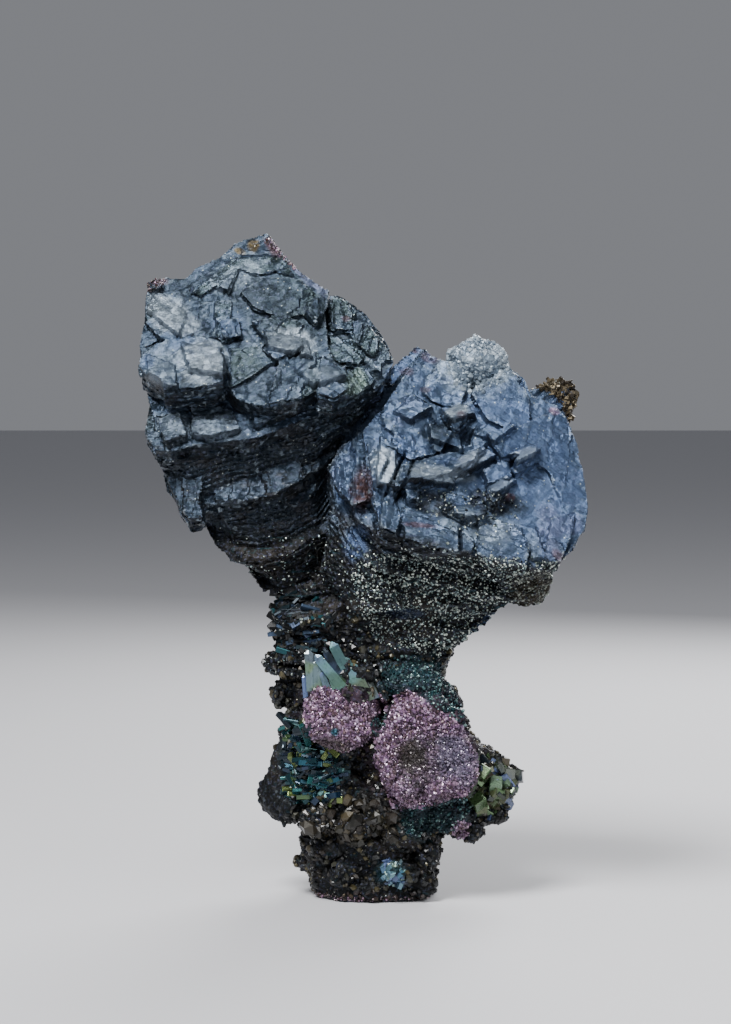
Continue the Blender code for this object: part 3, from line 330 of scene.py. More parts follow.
class Carving(Recipe):
    """Geometry nodes that move a skin and keep what they know of it as attributes for its finish."""

    def __init__(self, name):
        tree = bpy.data.node_groups.new(name, "GeometryNodeTree")
        for end in ("INPUT", "OUTPUT"):
            tree.interface.new_socket("Geometry", in_out=end, socket_type="NodeSocketGeometry")
        way = ("GeometryNodeInputNormal", {}, {})
        super().__init__(tree, ("GeometryNodeInputPosition", {}, {}), way)
        self.skin = self.node("NodeGroupInput", {}, {})

    def group(self, name):
        return self.node("GeometryNodeInputNamedAttribute", {"data_type": "FLOAT"}, {"Name": name})

    def keep(self, name, value):
        """Keeps a value as an attribute of the skin, and goes on with what is kept, which is quicker."""
        settings = {"data_type": "FLOAT", "domain": "POINT"}
        inputs = {"Geometry": self.skin, "Name": name, "Value": value}
        self.skin = self.node("GeometryNodeStoreNamedAttribute", settings, inputs)
        return self.group(name)

    def cleave(self, label, across, up, height, plate, thick, wander, lean, tip, metric):
        """Rounds a height down to a parting plane, and keeps the plate's lot and its lip."""
        ragged = self.vector("SUBTRACT", self.noise(1.8, detail=2.5, output="Color"), (0.5, 0.5, 0.5))
        spot = self.vector("MULTIPLY", self.joined(across, up, height), [1 / side for side in plate])
        spot = self.vector("MULTIPLY_ADD", ragged, (0.6, 0.6, 0.15), spot)
        tint = self.cells(1.0, place=spot, metric=metric)
        middle = self.cells(1.0, place=spot, output="Position", metric=metric)
        tipped = self.vector("SUBTRACT", tint, (0.5, 0.5, 0.5))
        leaning = self.keep("leaning", self.dot(self.vector("SUBTRACT", spot, middle), tipped))
        roll = self.noise(plate[1] * 1.4, detail=0.6, offset=thick * 40) - 0.5
        layer = self.keep("layer", (height + leaning * lean + roll * (2 * wander)) * (1 / thick))
        level = layer.math("FLOOR")
        self.keep(f"{label}_lot", self.lot(level, self.dot(tint, (7, 0, 0)), self.dot(tint, (0, 7, 0))))
        self.keep(f"{label}_lip", layer - level)
        return self.keep(f"{label}_height", (level + 0.5) * thick - leaning * (lean + tip)) - height

    def carve(self, thing, offset):
        """Moves the skin by an offset in millimetres and applies it all to an object."""
        inputs = {"Geometry": self.skin, "Offset": self.vector("SCALE", offset, scale=MM)}
        moved = self.node("GeometryNodeSetPosition", {}, inputs)
        end = self.tree.nodes.new("NodeGroupOutput")
        self.tree.links.new(moved.socket, end.inputs[0])
        thing.modifiers.new(self.tree.name, "NODES").node_group = self.tree
        finish_modifiers(thing)
        for spare in ("leaning", "layer"):
            if spare in thing.data.attributes:
                thing.data.attributes.remove(thing.data.attributes[spare])
        print(f"{self.tree.name}: {len(self.tree.nodes)} nodes")


# %% [markdown]
# ## Coarse flakes, then fine ones
# A coarse pass makes plates of a few millimetres and a fine pass splinters them. The right head parts
# along straight lines, so its cells are boxy, while the left head flakes in scallops. That alone would
# be too even, so calm places, slabs that stand out and cracks are written down. Where a head's skin
# doesn't face forward, the edges of its sheets show as thin ridges.

# %% How the heads break
FLAKES = (
    # head, face, turn, shape of its cells, then for the coarse and the fine pass:
    # plate size, thickness, wander, lean and tip
    ("left_head", LEFT_FACE, 14, "EUCLIDEAN",
     ((6.2, 4.4, 3.6), 0.4, 0.12, 0.7, 1.7), ((2.4, 1.7, 1.6), 0.17, 0.1, 0.5, 0.35)),
    ("right_head", RIGHT_FACE, -32, "CHEBYCHEV",
     ((6.0, 3.2, 3.0), 0.45, 0.12, 1.0, 1.5), ((2.8, 1.6, 1.6), 0.16, 0.1, 0.45, 0.3)),
)
CALM = (
    # x, z, half width, half height, turn, strength
    (15.4, 43.5, 4.6, 7.0, -8), (12.4, 49.6, 2.4, 2.2), (9.8, 54.4, 3.8, 3.4),
    (-11.6, 61.4, 5.6, 3.6, 12, 0.75), (-5.0, 57.4, 3.0, 3.2, 0, 0.6), (-11.4, 54.0, 2.6, 2.0, 0, 0.6),
    (-18.6, 57.0, 3.0, 1.6, 20, 0.6),
)
SLABS = (
    # x, z, half width, half height, turn, how far it stands out, how much further its lower edge does
    (14.3, 45.3, 1.3, 0.65, -25, 0.8, 0.6), (12.0, 42.3, 1.3, 0.6, -25, 0.6, 0.6),
    (7.9, 49.3, 1.3, 0.8, -12, 0.8, 0.6), (9.2, 44.6, 1.9, 0.9, -25, 0.8, 0.5),
    (5.0, 43.2, 2.3, 0.8, 8, 0.5, 0.5), (0.8, 44.2, 1.0, 2.1, 32, 0.5, 0.1),
    (15.2, 36.6, 0.8, 1.6, 10, 0.4, 0.2), (9.2, 39.8, 2.0, 0.7, 6, 0.5, 0.4),
    (6.6, 46.9, 1.7, 0.8, 20, 0.5, 0.4), (11.6, 47.6, 1.4, 0.9, -35, 0.4, 0.3),
    (3.4, 49.6, 1.3, 0.9, -30, 0.5, 0.4), (-17.0, 54.6, 2.0, 1.4, 8, 0.4, 0.25),
    (-21.2, 53.4, 1.6, 1.2, 20, 0.3, 0.25), (-9.0, 56.2, 2.2, 0.9, 12, 0.3, 0.3),
    (-21.0, 59.4, 2.2, 1.2, 38, 0.2, 0.25), (-5.4, 53.2, 1.8, 0.9, -15, 0.3, 0.3),
)
CRACKS = (
    # x, z, half width, half height, turn, from one crack to the next
    (2.0, 43.2, 1.5, 2.4, 25, 1.15), (8.6, 37.6, 0.7, 1.5, 4, 1.6),
)

# %% Break the heads into plates


def placed_relief(carving, shift):
    """Puts the slabs and the cracks where they are written down."""
    for x, z, wide, tall, turn, stands, slope in SLABS:
        within, level = carving.slab(x, z, wide, tall, turn)
        shift = shift * (1 - within) + within * (stands - level * slope)
    for x, z, wide, tall, turn, spacing in CRACKS:
        away = carving.dot(carving.place, turned(turn)[0]) * (1 / spacing)
        gap = ((away + carving.fray * 0.3).math("FRACT") - 0.5).math("ABSOLUTE").rise(0.15, 0.07)
        shift = shift - carving.patch(x, z, wide, tall, turn) * gap * 0.8
    return shift


def sheet_edges(carving, across, height, outward, worn):
    """Thin ridges round a head, where its skin looks sideways and shows the edges of its sheets."""
    levels = [(height * 1.6 + carving.fray * 3.0), (across * 0.14 + carving.fray)]
    lot = carving.lot(*[level.math("FLOOR") for level in levels])
    return (lot - 0.5) * outward.math("ABSOLUTE").rise(0.75, 0.35) * (0.42 - worn * 0.25)


for label, face, turn, metric, coarse, fine in FLAKES:
    carving = Carving(label)
    head = carving.group(label)
    out = Vector(face[1]).normalized()
    across, up, height = carving.along(face, turn)
    outward = carving.dot(carving.way, out)
    plates = carving.cleave(f"{label}_plate", across, up, height, *coarse, metric)
    flakes = carving.cleave(f"{label}_flake", across, up, height, *fine, metric)
    calm = 0.0
    for spot in CALM:
        calm = carving.patch(*spot) + calm
    worn = carving.noise(3.0, detail=2, offset=9).rise(0.45, 0.6) * outward.rise(0.6, 0.2)
    shift = (plates + flakes) * (1 - calm.math("MINIMUM", 1.0) * 0.8)
    shift = placed_relief(carving, shift * outward.rise(-0.75, -0.1) * (1 - worn * 0.8))
    ridge = sheet_edges(carving, across, height, outward, worn)
    grit = (carving.noise(0.55, detail=4, rough=0.6) - 0.5) * 0.18
    offset = carving.vector("SCALE", out, scale=shift * head)
    along_skin = carving.vector("SCALE", carving.way, scale=(ridge + grit) * head)
    carving.carve(rough, carving.vector("ADD", offset, along_skin))

# %% [markdown]
# ## A crust of grains
# Below the heads the ore is a crust of little crystals grown together. Distance to the middle of a cell
# gives round lumps with sharp valleys, as crystals make when they grow until they touch. Three sizes
# lie over each other, and the neck has flat ledges instead.

# %% Roughen the stalk and the undersides
crusty = Carving("crusty")
warped = crusty.vector("MULTIPLY_ADD", crusty.noise(2.0, output="Color"), (1.6, 1.6, 1.6), crusty.place)
lump, _, _ = crusty.parts(crusty.cells(2.1, place=warped))
dome = crusty.cells(1.25, place=warped, output="Distance")
grain = crusty.cells(0.62, output="Distance")
layered = crusty.joined(crusty.x * 0.16, crusty.y * 0.16, crusty.z * 1.25)
ledge = crusty.noise(1.0, detail=2, place=layered) - 0.5
neck = crusty.z.rise(23.0, 27.0) * crusty.z.rise(42.0, 36.0)
rise = (lump - 0.5) * (0.75 - neck * 0.45) + (0.45 - dome) * (0.8 - neck * 0.55) + (0.4 - grain) * 0.3
rise = rise + ledge * (0.5 + neck * 1.0) + (crusty.fray - 0.5) * 0.4
crusty.carve(rough, crusty.vector("SCALE", crusty.way, scale=rise * crusty.group("crust")))

# %% Cut the foot flat and measure where the skin lies
cut_away(rough, (0, 0, 0), (0, 0, -1))
spots, ways = corners_of(rough)
print("rough box in mm:", spots.min(0).round(2), spots.max(0).round(2))

rough.data.calc_loop_triangles()
triangles = np.empty(3 * len(rough.data.loop_triangles), int)
rough.data.loop_triangles.foreach_get("vertices", triangles)
corners = spots[triangles.reshape(-1, 3)]
middles = corners.mean(1)
crossed = np.cross(corners[:, 1] - corners[:, 0], corners[:, 2] - corners[:, 0])
areas = np.linalg.norm(crossed, axis=1) / 2
looks = crossed / np.maximum(2 * areas, 1e-9)[:, None]
print(f"skin: {areas.sum():.0f} square mm in {len(areas)} triangles")


# %% [markdown]
# ## What every finish can do
# All patterns are placed in millimetres on the object itself, so they stay put from every side. Tones
# are given as a screen shows them, because they are easy to judge there.

# %% The finish


def colour(tone):
    """A tone of three numbers from 0 to 255, made ready for the shader."""
    shares = (channel / 255 for channel in tone)
    return (*(s / 12.92 if s <= 0.04045 else ((s + 0.055) / 1.055) ** 2.4 for s in shares), 1.0)


class Finish(Recipe):
    """One material, with the patterns that its recipe can use."""

    def __init__(self, name, metallic, coat=0.0):
        self.material = bpy.data.materials.new(name)
        self.material.use_nodes = True
        tree = self.material.node_tree
        self.surface = tree.nodes["Principled BSDF"]
        self.surface.inputs["Metallic"].default_value = metallic
        self.surface.inputs["Coat Weight"].default_value = coat
        self.surface.inputs["Coat Roughness"].default_value = 0.2
        super().__init__(tree, *(("ShaderNodeTexCoord", {}, {}, kind) for kind in ("Object", "Normal")))

    def facing(self, way, low, high):
        """1 where the skin looks that way."""
        return self.dot(self.way, Vector(way).normalized()).rise(low, high)

    def kept(self, name):
        """What the carving kept about the skin."""
        return self.node("ShaderNodeAttribute", {"attribute_name": name}, {}, "Fac")

    def mix(self, share, first, second):
        first, second = (tone if isinstance(tone, Value) else colour(tone) for tone in (first, second))
        inputs = {"Factor": share, 6: first, 7: second}
        return self.node("ShaderNodeMix", {"data_type": "RGBA"}, inputs, 2)

    def coats(self, shade, *coats):
        """Lays tones over a shade one after another, each with its share."""
        for share, tone in coats:
            shade = self.mix(share, shade, tone)
        return shade

    def painted(self, shade, places, mask=1.0):
        """Gives ovals that are seen from the front a tone of their own."""
        return self.coats(shade, *((self.patch(*oval) * mask, tone) for *oval, tone in places))

    def ramp(self, value, tones, steps="LINEAR"):
        """Tones at equal distances along a ramp, which blend or, with CONSTANT, change at once."""
        last = len(tones) - (steps == "LINEAR")
        stops = [(number / last, colour(tone)) for number, tone in enumerate(tones)]
        return self.node("ShaderNodeValToRGB", {"stops": stops, "steps": steps}, [value])

    def done(self, shade, roughness, bump, depth):
        """Links what changes over the surface to the shader, the bump with its depth in millimetres."""
        inputs = {"Height": bump, "Distance": depth * MM, "Strength": 1.0}
        raised = self.node("ShaderNodeBump", {}, inputs)
        for name, value in (("Base Color", shade), ("Roughness", roughness), ("Normal", raised)):
            self.tree.links.new(value.socket, self.surface.inputs[name])
        print(f"{self.material.name}: {len(self.tree.nodes)} nodes")
        return self.material


# %% [markdown]
# ## The tarnished skin
# Copper ore grows a film so thin that it shows interference colours: steel blue on the wide cleavage
# plates, violet and teal where it is thicker, and almost black on the crust. One finish covers the
# whole skin, as one film does on the real piece, and masks say where each tone belongs.

# %% Tones of the tarnish
BLACK = (8, 9, 10)
SOOT = (19, 21, 22)
SLATE = (29, 39, 47)
STEEL = (50, 64, 80)
PALE_STEEL = (106, 120, 133)
BRIGHT = (140, 153, 164)
GREEN_STEEL = (38, 51, 53)
PALE_GREEN = (84, 100, 92)
BLUE_STEEL = (60, 76, 98)
BLUE = (66, 85, 118)
DEEP_BLUE = (38, 50, 72)
VIOLET = (66, 74, 104)
LAVENDER = (88, 94, 122)
TEAL = (18, 54, 60)
TURQUOISE = (36, 80, 96)
AQUA = (104, 146, 144)
LEAF = (66, 90, 56)
GOLD = (92, 78, 44)
OCHRE = (58, 52, 38)
BROWN = (38, 33, 28)
GREY = (56, 58, 62)
RUST = (48, 25, 19)
ROSE = (86, 64, 70)
LILAC = (138, 110, 132)
PLUM = (64, 48, 60)
WHITE = (196, 204, 196)

# %% Places with a tone of their own, painted highlights and painted shade
PLACES = (
    # x, z, half width, half height, turn, strength, tone
    # the left head
    # on the left head the BRIGHT and PALE_STEEL ovals are painted highlights, on plates that catch the
    # key lamp
    (-7.6, 60.2, 4.6, 3.4, 0, 0.55, GREEN_STEEL), (-11.6, 60.6, 4.4, 2.2, 18, 0.8, SLATE),
    (-5.6, 58.6, 2.4, 2.6, 0, 0.55, SLATE), (-11.2, 52.6, 2.6, 1.8, 0, 0.6, SLATE),
    (-19.8, 62.0, 2.4, 1.0, 35, 0.6, SLATE), (-20.8, 59.2, 2.9, 1.5, 38, 0.75, BRIGHT),
    (-17.3, 54.5, 2.2, 2.0, 0, 0.7, BRIGHT), (-21.3, 54.0, 2.1, 1.8, 0, 0.65, PALE_STEEL),
    (-22.6, 54.4, 0.7, 0.8, 0, 0.6, BLUE), (-8.6, 56.4, 2.5, 1.2, 10, 0.6, BRIGHT),
    (-15.0, 58.2, 1.6, 1.5, 0, 0.25, BLUE), (-14.0, 63.0, 2.6, 1.2, -25, 0.5, PALE_STEEL),
    (-5.4, 52.9, 1.9, 1.2, 20, 0.6, PALE_STEEL), (-2.8, 54.8, 1.5, 1.6, 20, 0.5, GREEN_STEEL),
    (-2.2, 52.4, 1.1, 1.3, 20, 0.8, PALE_GREEN), (-6.9, 62.8, 2.6, 0.6, 44, 0.6, LAVENDER),
    (-18.0, 48.0, 4.4, 1.0, 8, 0.45, PALE_STEEL), (-12.5, 66.1, 0.6, 0.6, 0, 0.8, GOLD),
    (-13.9, 65.5, 0.6, 0.3, 20, 0.7, GOLD), (-10.5, 65.9, 1.3, 0.6, 50, 0.6, ROSE),
    (-21.9, 62.5, 0.8, 0.6, 0, 0.5, ROSE), (-3.2, 58.7, 0.4, 0.3, 0, 0.4, ROSE),
    # the right head
    # on the right head the BRIGHT ovals are painted highlights, on slabs and plates that catch the key
    # lamp
    (14.3, 45.4, 1.2, 0.5, -25, 0.9, BRIGHT), (12.0, 42.4, 1.2, 0.5, -25, 0.9, BRIGHT),
    (7.9, 49.5, 1.1, 0.6, -12, 0.9, BRIGHT), (9.2, 44.8, 1.7, 0.7, -25, 0.6, BRIGHT),
    (4.4, 39.6, 4.6, 2.6, 10, 0.5, STEEL), (18.9, 38.4, 1.3, 1.0, -20, 0.6, LAVENDER),
    (15.1, 36.4, 0.8, 1.4, 10, 0.7, PALE_STEEL), (15.5, 43.0, 5.0, 7.0, -8, 0.6, BLUE),
    (11.8, 50.4, 2.6, 2.6, 0, 0.5, BLUE), (9.8, 54.4, 3.6, 3.1, 0, 1.0, PALE_STEEL),
    (-2.6, 44.0, 1.6, 3.4, 0, 0.6, BLUE_STEEL), (0.6, 44.2, 1.2, 1.9, -30, 0.8, BRIGHT),
    (5.8, 43.5, 3.0, 0.7, 8, 0.8, BRIGHT), (5.5, 47.5, 1.6, 0.9, -12, 0.8, SLATE),
    (12.9, 40.4, 1.9, 1.4, 20, 0.8, SLATE), (9.8, 38.4, 3.6, 1.6, 12, 0.6, PALE_STEEL),
    (16.8, 38.2, 1.2, 2.2, 0, 0.5, LAVENDER), (-1.6, 41.9, 1.1, 2.2, 8, 0.9, RUST),
    (3.8, 38.5, 1.6, 0.25, 6, 0.6, ROSE), (12.9, 41.1, 0.5, 0.4, 0, 0.8, ROSE),
    (8.2, 49.2, 0.5, 0.4, 0, 0.7, ROSE), (4.7, 51.6, 0.5, 0.3, 0, 0.4, ROSE),
    (5.2, 54.8, 0.9, 0.5, 20, 0.45, ROSE), (2.9, 53.4, 0.7, 0.4, 0, 0.4, ROSE),
    (3.8, 55.7, 0.4, 0.4, 0, 0.7, RUST), (17.6, 35.5, 0.8, 0.5, 40, 0.5, ROSE),
    (17.6, 49.5, 0.5, 0.4, 0, 0.6, LILAC), (18.2, 52.2, 2.0, 0.9, 0, 1.0, OCHRE),
    (20.0, 50.2, 1.0, 2.0, 0, 1.0, OCHRE), (-2.2, 36.4, 1.1, 1.7, 15, 0.8, BLUE),
    # the stalk, the domes and the foot
    (15.6, 31.6, 2.4, 1.4, 0, 0.5, OCHRE), (2.6, 29.2, 1.8, 0.5, 0, 0.8, DEEP_BLUE),
    (10.2, 27.2, 0.8, 2.6, 40, 0.8, BLUE), (4.0, 22.2, 3.8, 2.2, 0, 0.7, TEAL),
    (-3.7, 19.0, 4.4, 3.6, 0, 0.9, PLUM), (4.7, 15.6, 5.2, 5.8, 0, 0.9, PLUM),
    (3.4, 15.6, 1.3, 1.2, 0, 0.9, OCHRE), (-6.4, 14.2, 3.2, 4.4, 0, 0.6, TEAL),
    (1.2, 3.1, 1.5, 1.3, 0, 0.8, TEAL), (1.8, 2.4, 0.9, 0.7, 0, 0.8, BLUE),
    (11.0, 11.6, 1.8, 2.2, 0, 0.6, LEAF), (5.2, 8.2, 3.6, 1.8, 0, 0.5, TEAL),
    # shade between the slabs of the right head
    (5.6, 40.4, 2.0, 1.2, 10, 0.8, SOOT), (10.8, 40.6, 2.2, 1.1, 10, 0.85, SOOT),
)

# %% Colour the plates of the two heads
HEADS = (
    # head, face, turn of its streaks, tones of its plates, tone of its splinters
    ("left_head", LEFT_FACE, 24,
     [SLATE, SLATE, STEEL, SLATE, BLUE_STEEL, STEEL, GREEN_STEEL, STEEL, PALE_STEEL], SLATE),
    ("right_head", RIGHT_FACE, -32,
     [DEEP_BLUE, BLUE, BLUE_STEEL, BLUE_STEEL, STEEL, BLUE, BLUE_STEEL, VIOLET, PALE_STEEL], STEEL),
)


def plate_colours(ore, medium, small):
    """Colours each plate as the carving numbered it, and gives back the streaks along each head too."""
    plates, streaks = [], []
    for head, face, turn, tones, splinters in HEADS:
        across, up, out = ore.along(face, turn)
        stretched = ore.joined(across * 0.55, up * 2.6, out * 2.6)
        streak = ore.noise(1.0, detail=4, rough=0.65, place=stretched)
        lip = ore.kept(f"{head}_plate_lip")
        plate = ore.ramp(ore.kept(f"{head}_plate_lot") * 0.75 + medium * 0.4 - 0.1, tones)
        plates.append(ore.coats(
            plate,
            (ore.kept(f"{head}_flake_lot").rise(0.6, 0.9) * 0.4, splinters),
            # streaks along each head: a striation pattern whose pale streaks are partly a painted sheen
            (streak.rise(0.52, 0.72) * 0.5, PALE_STEEL), (streak.rise(0.46, 0.30) * 0.35, SOOT),
            # the lip of each plate is lighter, partly as wear and partly as a painted highlight; the
            # foot of each step is darker as painted shade
            (lip.rise(0.22, 0.02) * small.rise(0.4, 0.6) * 0.5, PALE_STEEL),
            (lip.rise(0.92, 1.0) * small.rise(0.6, 0.45) * 0.12, BLACK),
        ))
        streaks.append(streak)
    return plates, streaks


# %% Colour the rims and the crust


def rim_colours(ore, medium, right, stripe):
    """The rims and undersides of the heads are dull and dark, layer by layer; where they look up they
    are lighter, as painted top light.
    """
    return ore.coats(
        ore.mix(stripe.rise(0.42, 0.6), SOOT, GREY),
        (medium.rise(0.38, 0.55) * (1 - right) * 0.8, SLATE),
        (medium.rise(0.5, 0.65) * right * 0.4, BROWN),
        # faces that look up are lighter: painted top light
        (ore.facing((0, -0.3, 1), 0.3, 0.8) * 0.6, STEEL),
    )


def crust_colours(ore, broad, medium, small, stripe):
    """The crust of the stalk is black and brown, with a teal film here and there."""
    return ore.coats(
        ore.mix(medium.rise(0.4, 0.65), BLACK, SOOT),
        (broad.rise(0.5, 0.62) * 0.5, BROWN), (small.rise(0.58, 0.7) * 0.4, TEAL),
        (stripe.rise(0.6, 0.7) * ore.z.rise(23, 26) * 0.7, TEAL),
    )


def grain_wear_and_painted_light(ore, shade, in_head):
    """Adds fine grain. Sharp edges are lighter, partly as wear and partly as a painted highlight;
    creases get painted shade, and single cells get painted glints.
    """
    fine = ore.noise(0.3, detail=3, rough=0.6, offset=5)
    sharp = ore.node("ShaderNodeNewGeometry", {}, {}, "Pointiness")
    # random cells of 0.2 mm, the brightest of which become painted glints
    grain, _, _ = ore.parts(ore.cells(0.2))
    painted_glints = grain.rise(0.975, 0.98) * ore.cells(0.2, output="Distance").rise(0.4, 0.2)
    return ore.coats(
        shade, (fine.rise(0.52, 0.68) * 0.3, LAVENDER), (fine.rise(0.46, 0.32) * 0.3, BLACK),
        # sharp edges are lighter, partly as wear and partly as a painted highlight
        (sharp.rise(0.53, 0.62) * (0.15 + in_head * 0.35), BRIGHT),
        # creases are darker as painted shade, and the glint cells are painted white
        (sharp.rise(0.46, 0.36) * 0.15, BLACK), (painted_glints * 0.6, WHITE),
    )


# %% Mix the skin of the ore


def ore_finish():
    ore = Finish("tarnished_ore", metallic=0.72)
    broad = ore.noise(7.0, detail=2, offset=11)
    medium = ore.noise(2.6, detail=3, offset=23)
    small = ore.noise(0.7, detail=3, offset=37)

    # the groove between the heads again, as two slopes that meet at its middle point
    across, height = GROOVE_ACROSS[2], GROOVE_HEIGHTS[2]
    above, below = (ore.z - height).math("MAXIMUM", 0.0), (height - ore.z).math("MAXIMUM", 0.0)
    right = (ore.x - (above * 0.59 + below * 0.17 + across)).rise(-0.5, 0.5)

    # plates in front, rims round them, and the crust below
    plates, streaks = plate_colours(ore, medium, small)
    left_front = ore.facing(LEFT_FACE[1], 0.0, 0.45) * (ore.z + broad * 4).rise(47.5, 51.5)
    slanted = ore.z + ore.x * 0.30 + (medium - 0.5) * 2
    right_front = ore.facing(RIGHT_FACE[1], 0.0, 0.4) * slanted.rise(38.0, 39.4)
    front = left_front * (1 - right) + right_front * right
    layered = ore.joined(ore.x * 0.2, ore.y * 0.2, ore.z * 2.6 - ore.x * right * 0.8)
    stripe = ore.noise(1.0, place=layered)
    heads = ore.mix(front, rim_colours(ore, medium, right, stripe), ore.mix(right, *plates))
    lowest = 32.5 + right * 2.5 + (1 - right) * 5.0
    in_head = (ore.z - lowest + (ore.fray - 0.5) * 6).rise(-1.0, 1.0)
    shade = ore.mix(in_head, crust_colours(ore, broad, medium, small, stripe), heads)

    mottled = ore.facing((0, -1, 0.2), -0.2, 0.2) * (small.rise(0.32, 0.55) * 0.6 + 0.4)
    shade = grain_wear_and_painted_light(ore, ore.painted(shade, PLACES, mottled), in_head)

    # some plates are glossier than others, and all of them are finely ribbed and faceted
    lots = ore.kept("left_head_plate_lot") * (1 - right) + ore.kept("right_head_plate_lot") * right
    glossy = lots.rise(0.5, 0.9)
    roughness = 0.5 - 0.14 * medium - 0.12 * glossy * in_head + 0.12 * (1 - in_head)
    from_middle = ore.vector("SUBTRACT", ore.place, ore.cells(0.55, output="Position"))
    facets = ore.dot(from_middle, ore.vector("SUBTRACT", ore.cells(0.55), (0.5, 0.5, 0.5)))
    ribs = streaks[0] * (1 - right) + streaks[1] * right
    bump = ore.noise(0.2, detail=4, rough=0.7) * 0.8 + ribs * in_head * 1.8 + facets * 5
    return ore.done(shade, roughness, bump, depth=0.07)


rough.data.materials.clear()
rough.data.materials.append(ore_finish())

# %% [markdown]
# ## One crystal of each kind
# The druse, the grains and the blades are thousands of small crystals, but only a few shapes. Each is
# modelled once, one millimetre long, with only a few dozen faces, because it is repeated hundreds of
# times. A bar and a sheet are the same block, stretched in two ways.

# %% Model the crystals


def modelled(name):
    """Ends the modelling of a crystal and returns its corners in millimetres and its triangles."""
    bpy.ops.object.mode_set(mode="OBJECT")
    thing = bpy.context.active_object
    thing.data.calc_loop_triangles()
    shape = np.array([corner.co for corner in thing.data.vertices]) / MM
    faces = np.array([triangle.vertices for triangle in thing.data.loop_triangles])
    bpy.data.objects.remove(thing)
    print(f"{name}: {len(faces)} triangles")
    return shape, faces


def prism(name, taper, tip, flat=1.0):
    """A six-sided prism whose upper end is drawn in to a point, or to a roof when it is flat."""
    bpy.ops.mesh.primitive_cone_add(vertices=6, radius1=0.5 * MM, radius2=0.5 * taper * MM, depth=MM)
    crystal = bpy.context.active_object
    in_edit(crystal, "DESELECT")
    bpy.ops.object.mode_set(mode="OBJECT")
    for face in crystal.data.polygons:
        face.select = face.normal.z > 0.9
    bpy.ops.object.mode_set(mode="EDIT")
    bpy.ops.mesh.extrude_region_move(TRANSFORM_OT_translate={"value": (0, 0, tip * MM)})
    bpy.ops.transform.resize(value=(0.2, 0.2, 1))
    bpy.ops.mesh.select_all(action="SELECT")
    bpy.ops.transform.resize(value=(1, flat, 1), center_override=(0, 0, 0))
    return modelled(name)


POINT = prism("point", 0.9, 0.35)
BLADE = prism("blade", 0.85, 0.1, flat=0.4)

# a ball of flat faces with its corners pushed about, so that no two sides are alike
bpy.ops.mesh.primitive_ico_sphere_add(subdivisions=1, radius=0.5 * MM)
in_edit(bpy.context.active_object)
bpy.ops.transform.vertex_random(offset=0.08 * MM, seed=5)
GRAIN = modelled("grain")

# a brick with narrow bevels that catch the light
bpy.ops.mesh.primitive_cube_add(size=MM, scale=(1, 0.62, 0.5))
in_edit(bpy.context.active_object)
bpy.ops.mesh.bevel(offset=0.035 * MM, affect="EDGES")
BLOCK = modelled("block")
BAR, SHEET = ((BLOCK[0] * stretch, BLOCK[1]) for stretch in ((1.6, 0.6, 0.8), (1.2, 1.0, 0.4)))

# %% [markdown]
# ## Strewing crystals over the skin
# A crystal grows from the skin outwards, so each copy is set on one of the skin's triangles, tilted a
# little and sunk a little. The copies keep a distance from each other, or they would clump. Where a
# kind grows is an outline seen from the front, a row of x and z in millimetres.

# %% Find a place for each crystal
heights, backward = middles[:, 2], looks[:, 1]


def inside(outline):
    """Which triangles of the skin lie within an outline, seen from the front."""
    across, within = middles[:, 0], np.zeros(len(middles), bool)
    points = np.reshape(outline, (-1, 2))
    for (x0, z0), (x1, z1) in zip(points, np.roll(points, -1, axis=0)):
        if z0 != z1:
            edge = (x1 - x0) * (heights - z0) / (z1 - z0) + x0
            within ^= ((z0 > heights) != (z1 > heights)) & (across < edge)
    return within


def spread(odds, count, apart, chance):
    """Picks triangles by those odds that lie at least that many millimetres apart."""
    taken, chosen = {}, []
    sides = [(i, j, k) for i in (-1, 0, 1) for j in (-1, 0, 1) for k in (-1, 0, 1)]
    for index in chance.choice(len(odds), 6 * count, p=odds / odds.sum()):
        spot = middles[index]
        home = tuple((spot // apart).astype(int))
        near = (taken.get((home[0] + i, home[1] + j, home[2] + k)) for i, j, k in sides)
        if all(other is None or np.sum((other - spot) ** 2) > apart * apart for other in near):
            taken[home] = spot
            chosen.append(index)
            if len(chosen) == count:
                break
    return np.array(chosen)


# %% Set the crystals
crystals = []


def piece_of(name, shape, faces, places, turns, material):
    """Copies a crystal to every place, joins the copies into one piece and gives it its finish."""
    placed = places[:, None, :] + np.einsum("kij,nj->kni", turns, shape)
    joined = faces[None] + len(shape) * np.arange(len(places))[:, None, None]
    mesh = bpy.data.meshes.new(name)
    mesh.from_pydata(placed.reshape(-1, 3) * MM, [], joined.reshape(-1, 3))
    mesh.materials.append(material)
    crystals.append(linked(name, mesh))
    print(f"{name}: {len(places)} crystals, {len(mesh.polygons)} triangles")


def unit(rows):
    """Each row as a direction of length 1."""
    return rows / np.linalg.norm(rows, axis=1)[:, None]


def strew(name, crystal, material, share, count, size, apart, tilt=0.35, sunk=0.2, uneven=0.2, lie=None):
    """Sets crystals on the skin where share isn't 0. They stand up from it, or lie along a direction."""
    chance = np.random.default_rng(sum(map(ord, name)))
    chosen = spread(areas * share, count, apart, chance)
    out = unit(looks[chosen] + tilt * chance.normal(size=(len(chosen), 3)))
    other = chance.normal(size=out.shape)
    if lie is None:
        up = unit(np.cross(out, other))
    else:
        up = unit(np.cross(np.cross(out, other * 0.25 + np.cross(out, lie)), out))
    across = np.cross(up, out)
    sizes = size[0] + (size[1] - size[0]) * chance.random(len(chosen)) ** 1.6
    shapes = 1 + uneven * chance.uniform(-1, 1, size=(len(chosen), 1, 3))
    turns = np.stack([across, up, out], axis=2) * sizes[:, None, None] * shapes
    places = middles[chosen] - (sunk * sizes)[:, None] * out
    places[:, 2] = np.maximum(places[:, 2], 0.75 * sizes)  # none reaches below the foot
    piece_of(name, *crystal, places, turns, material)


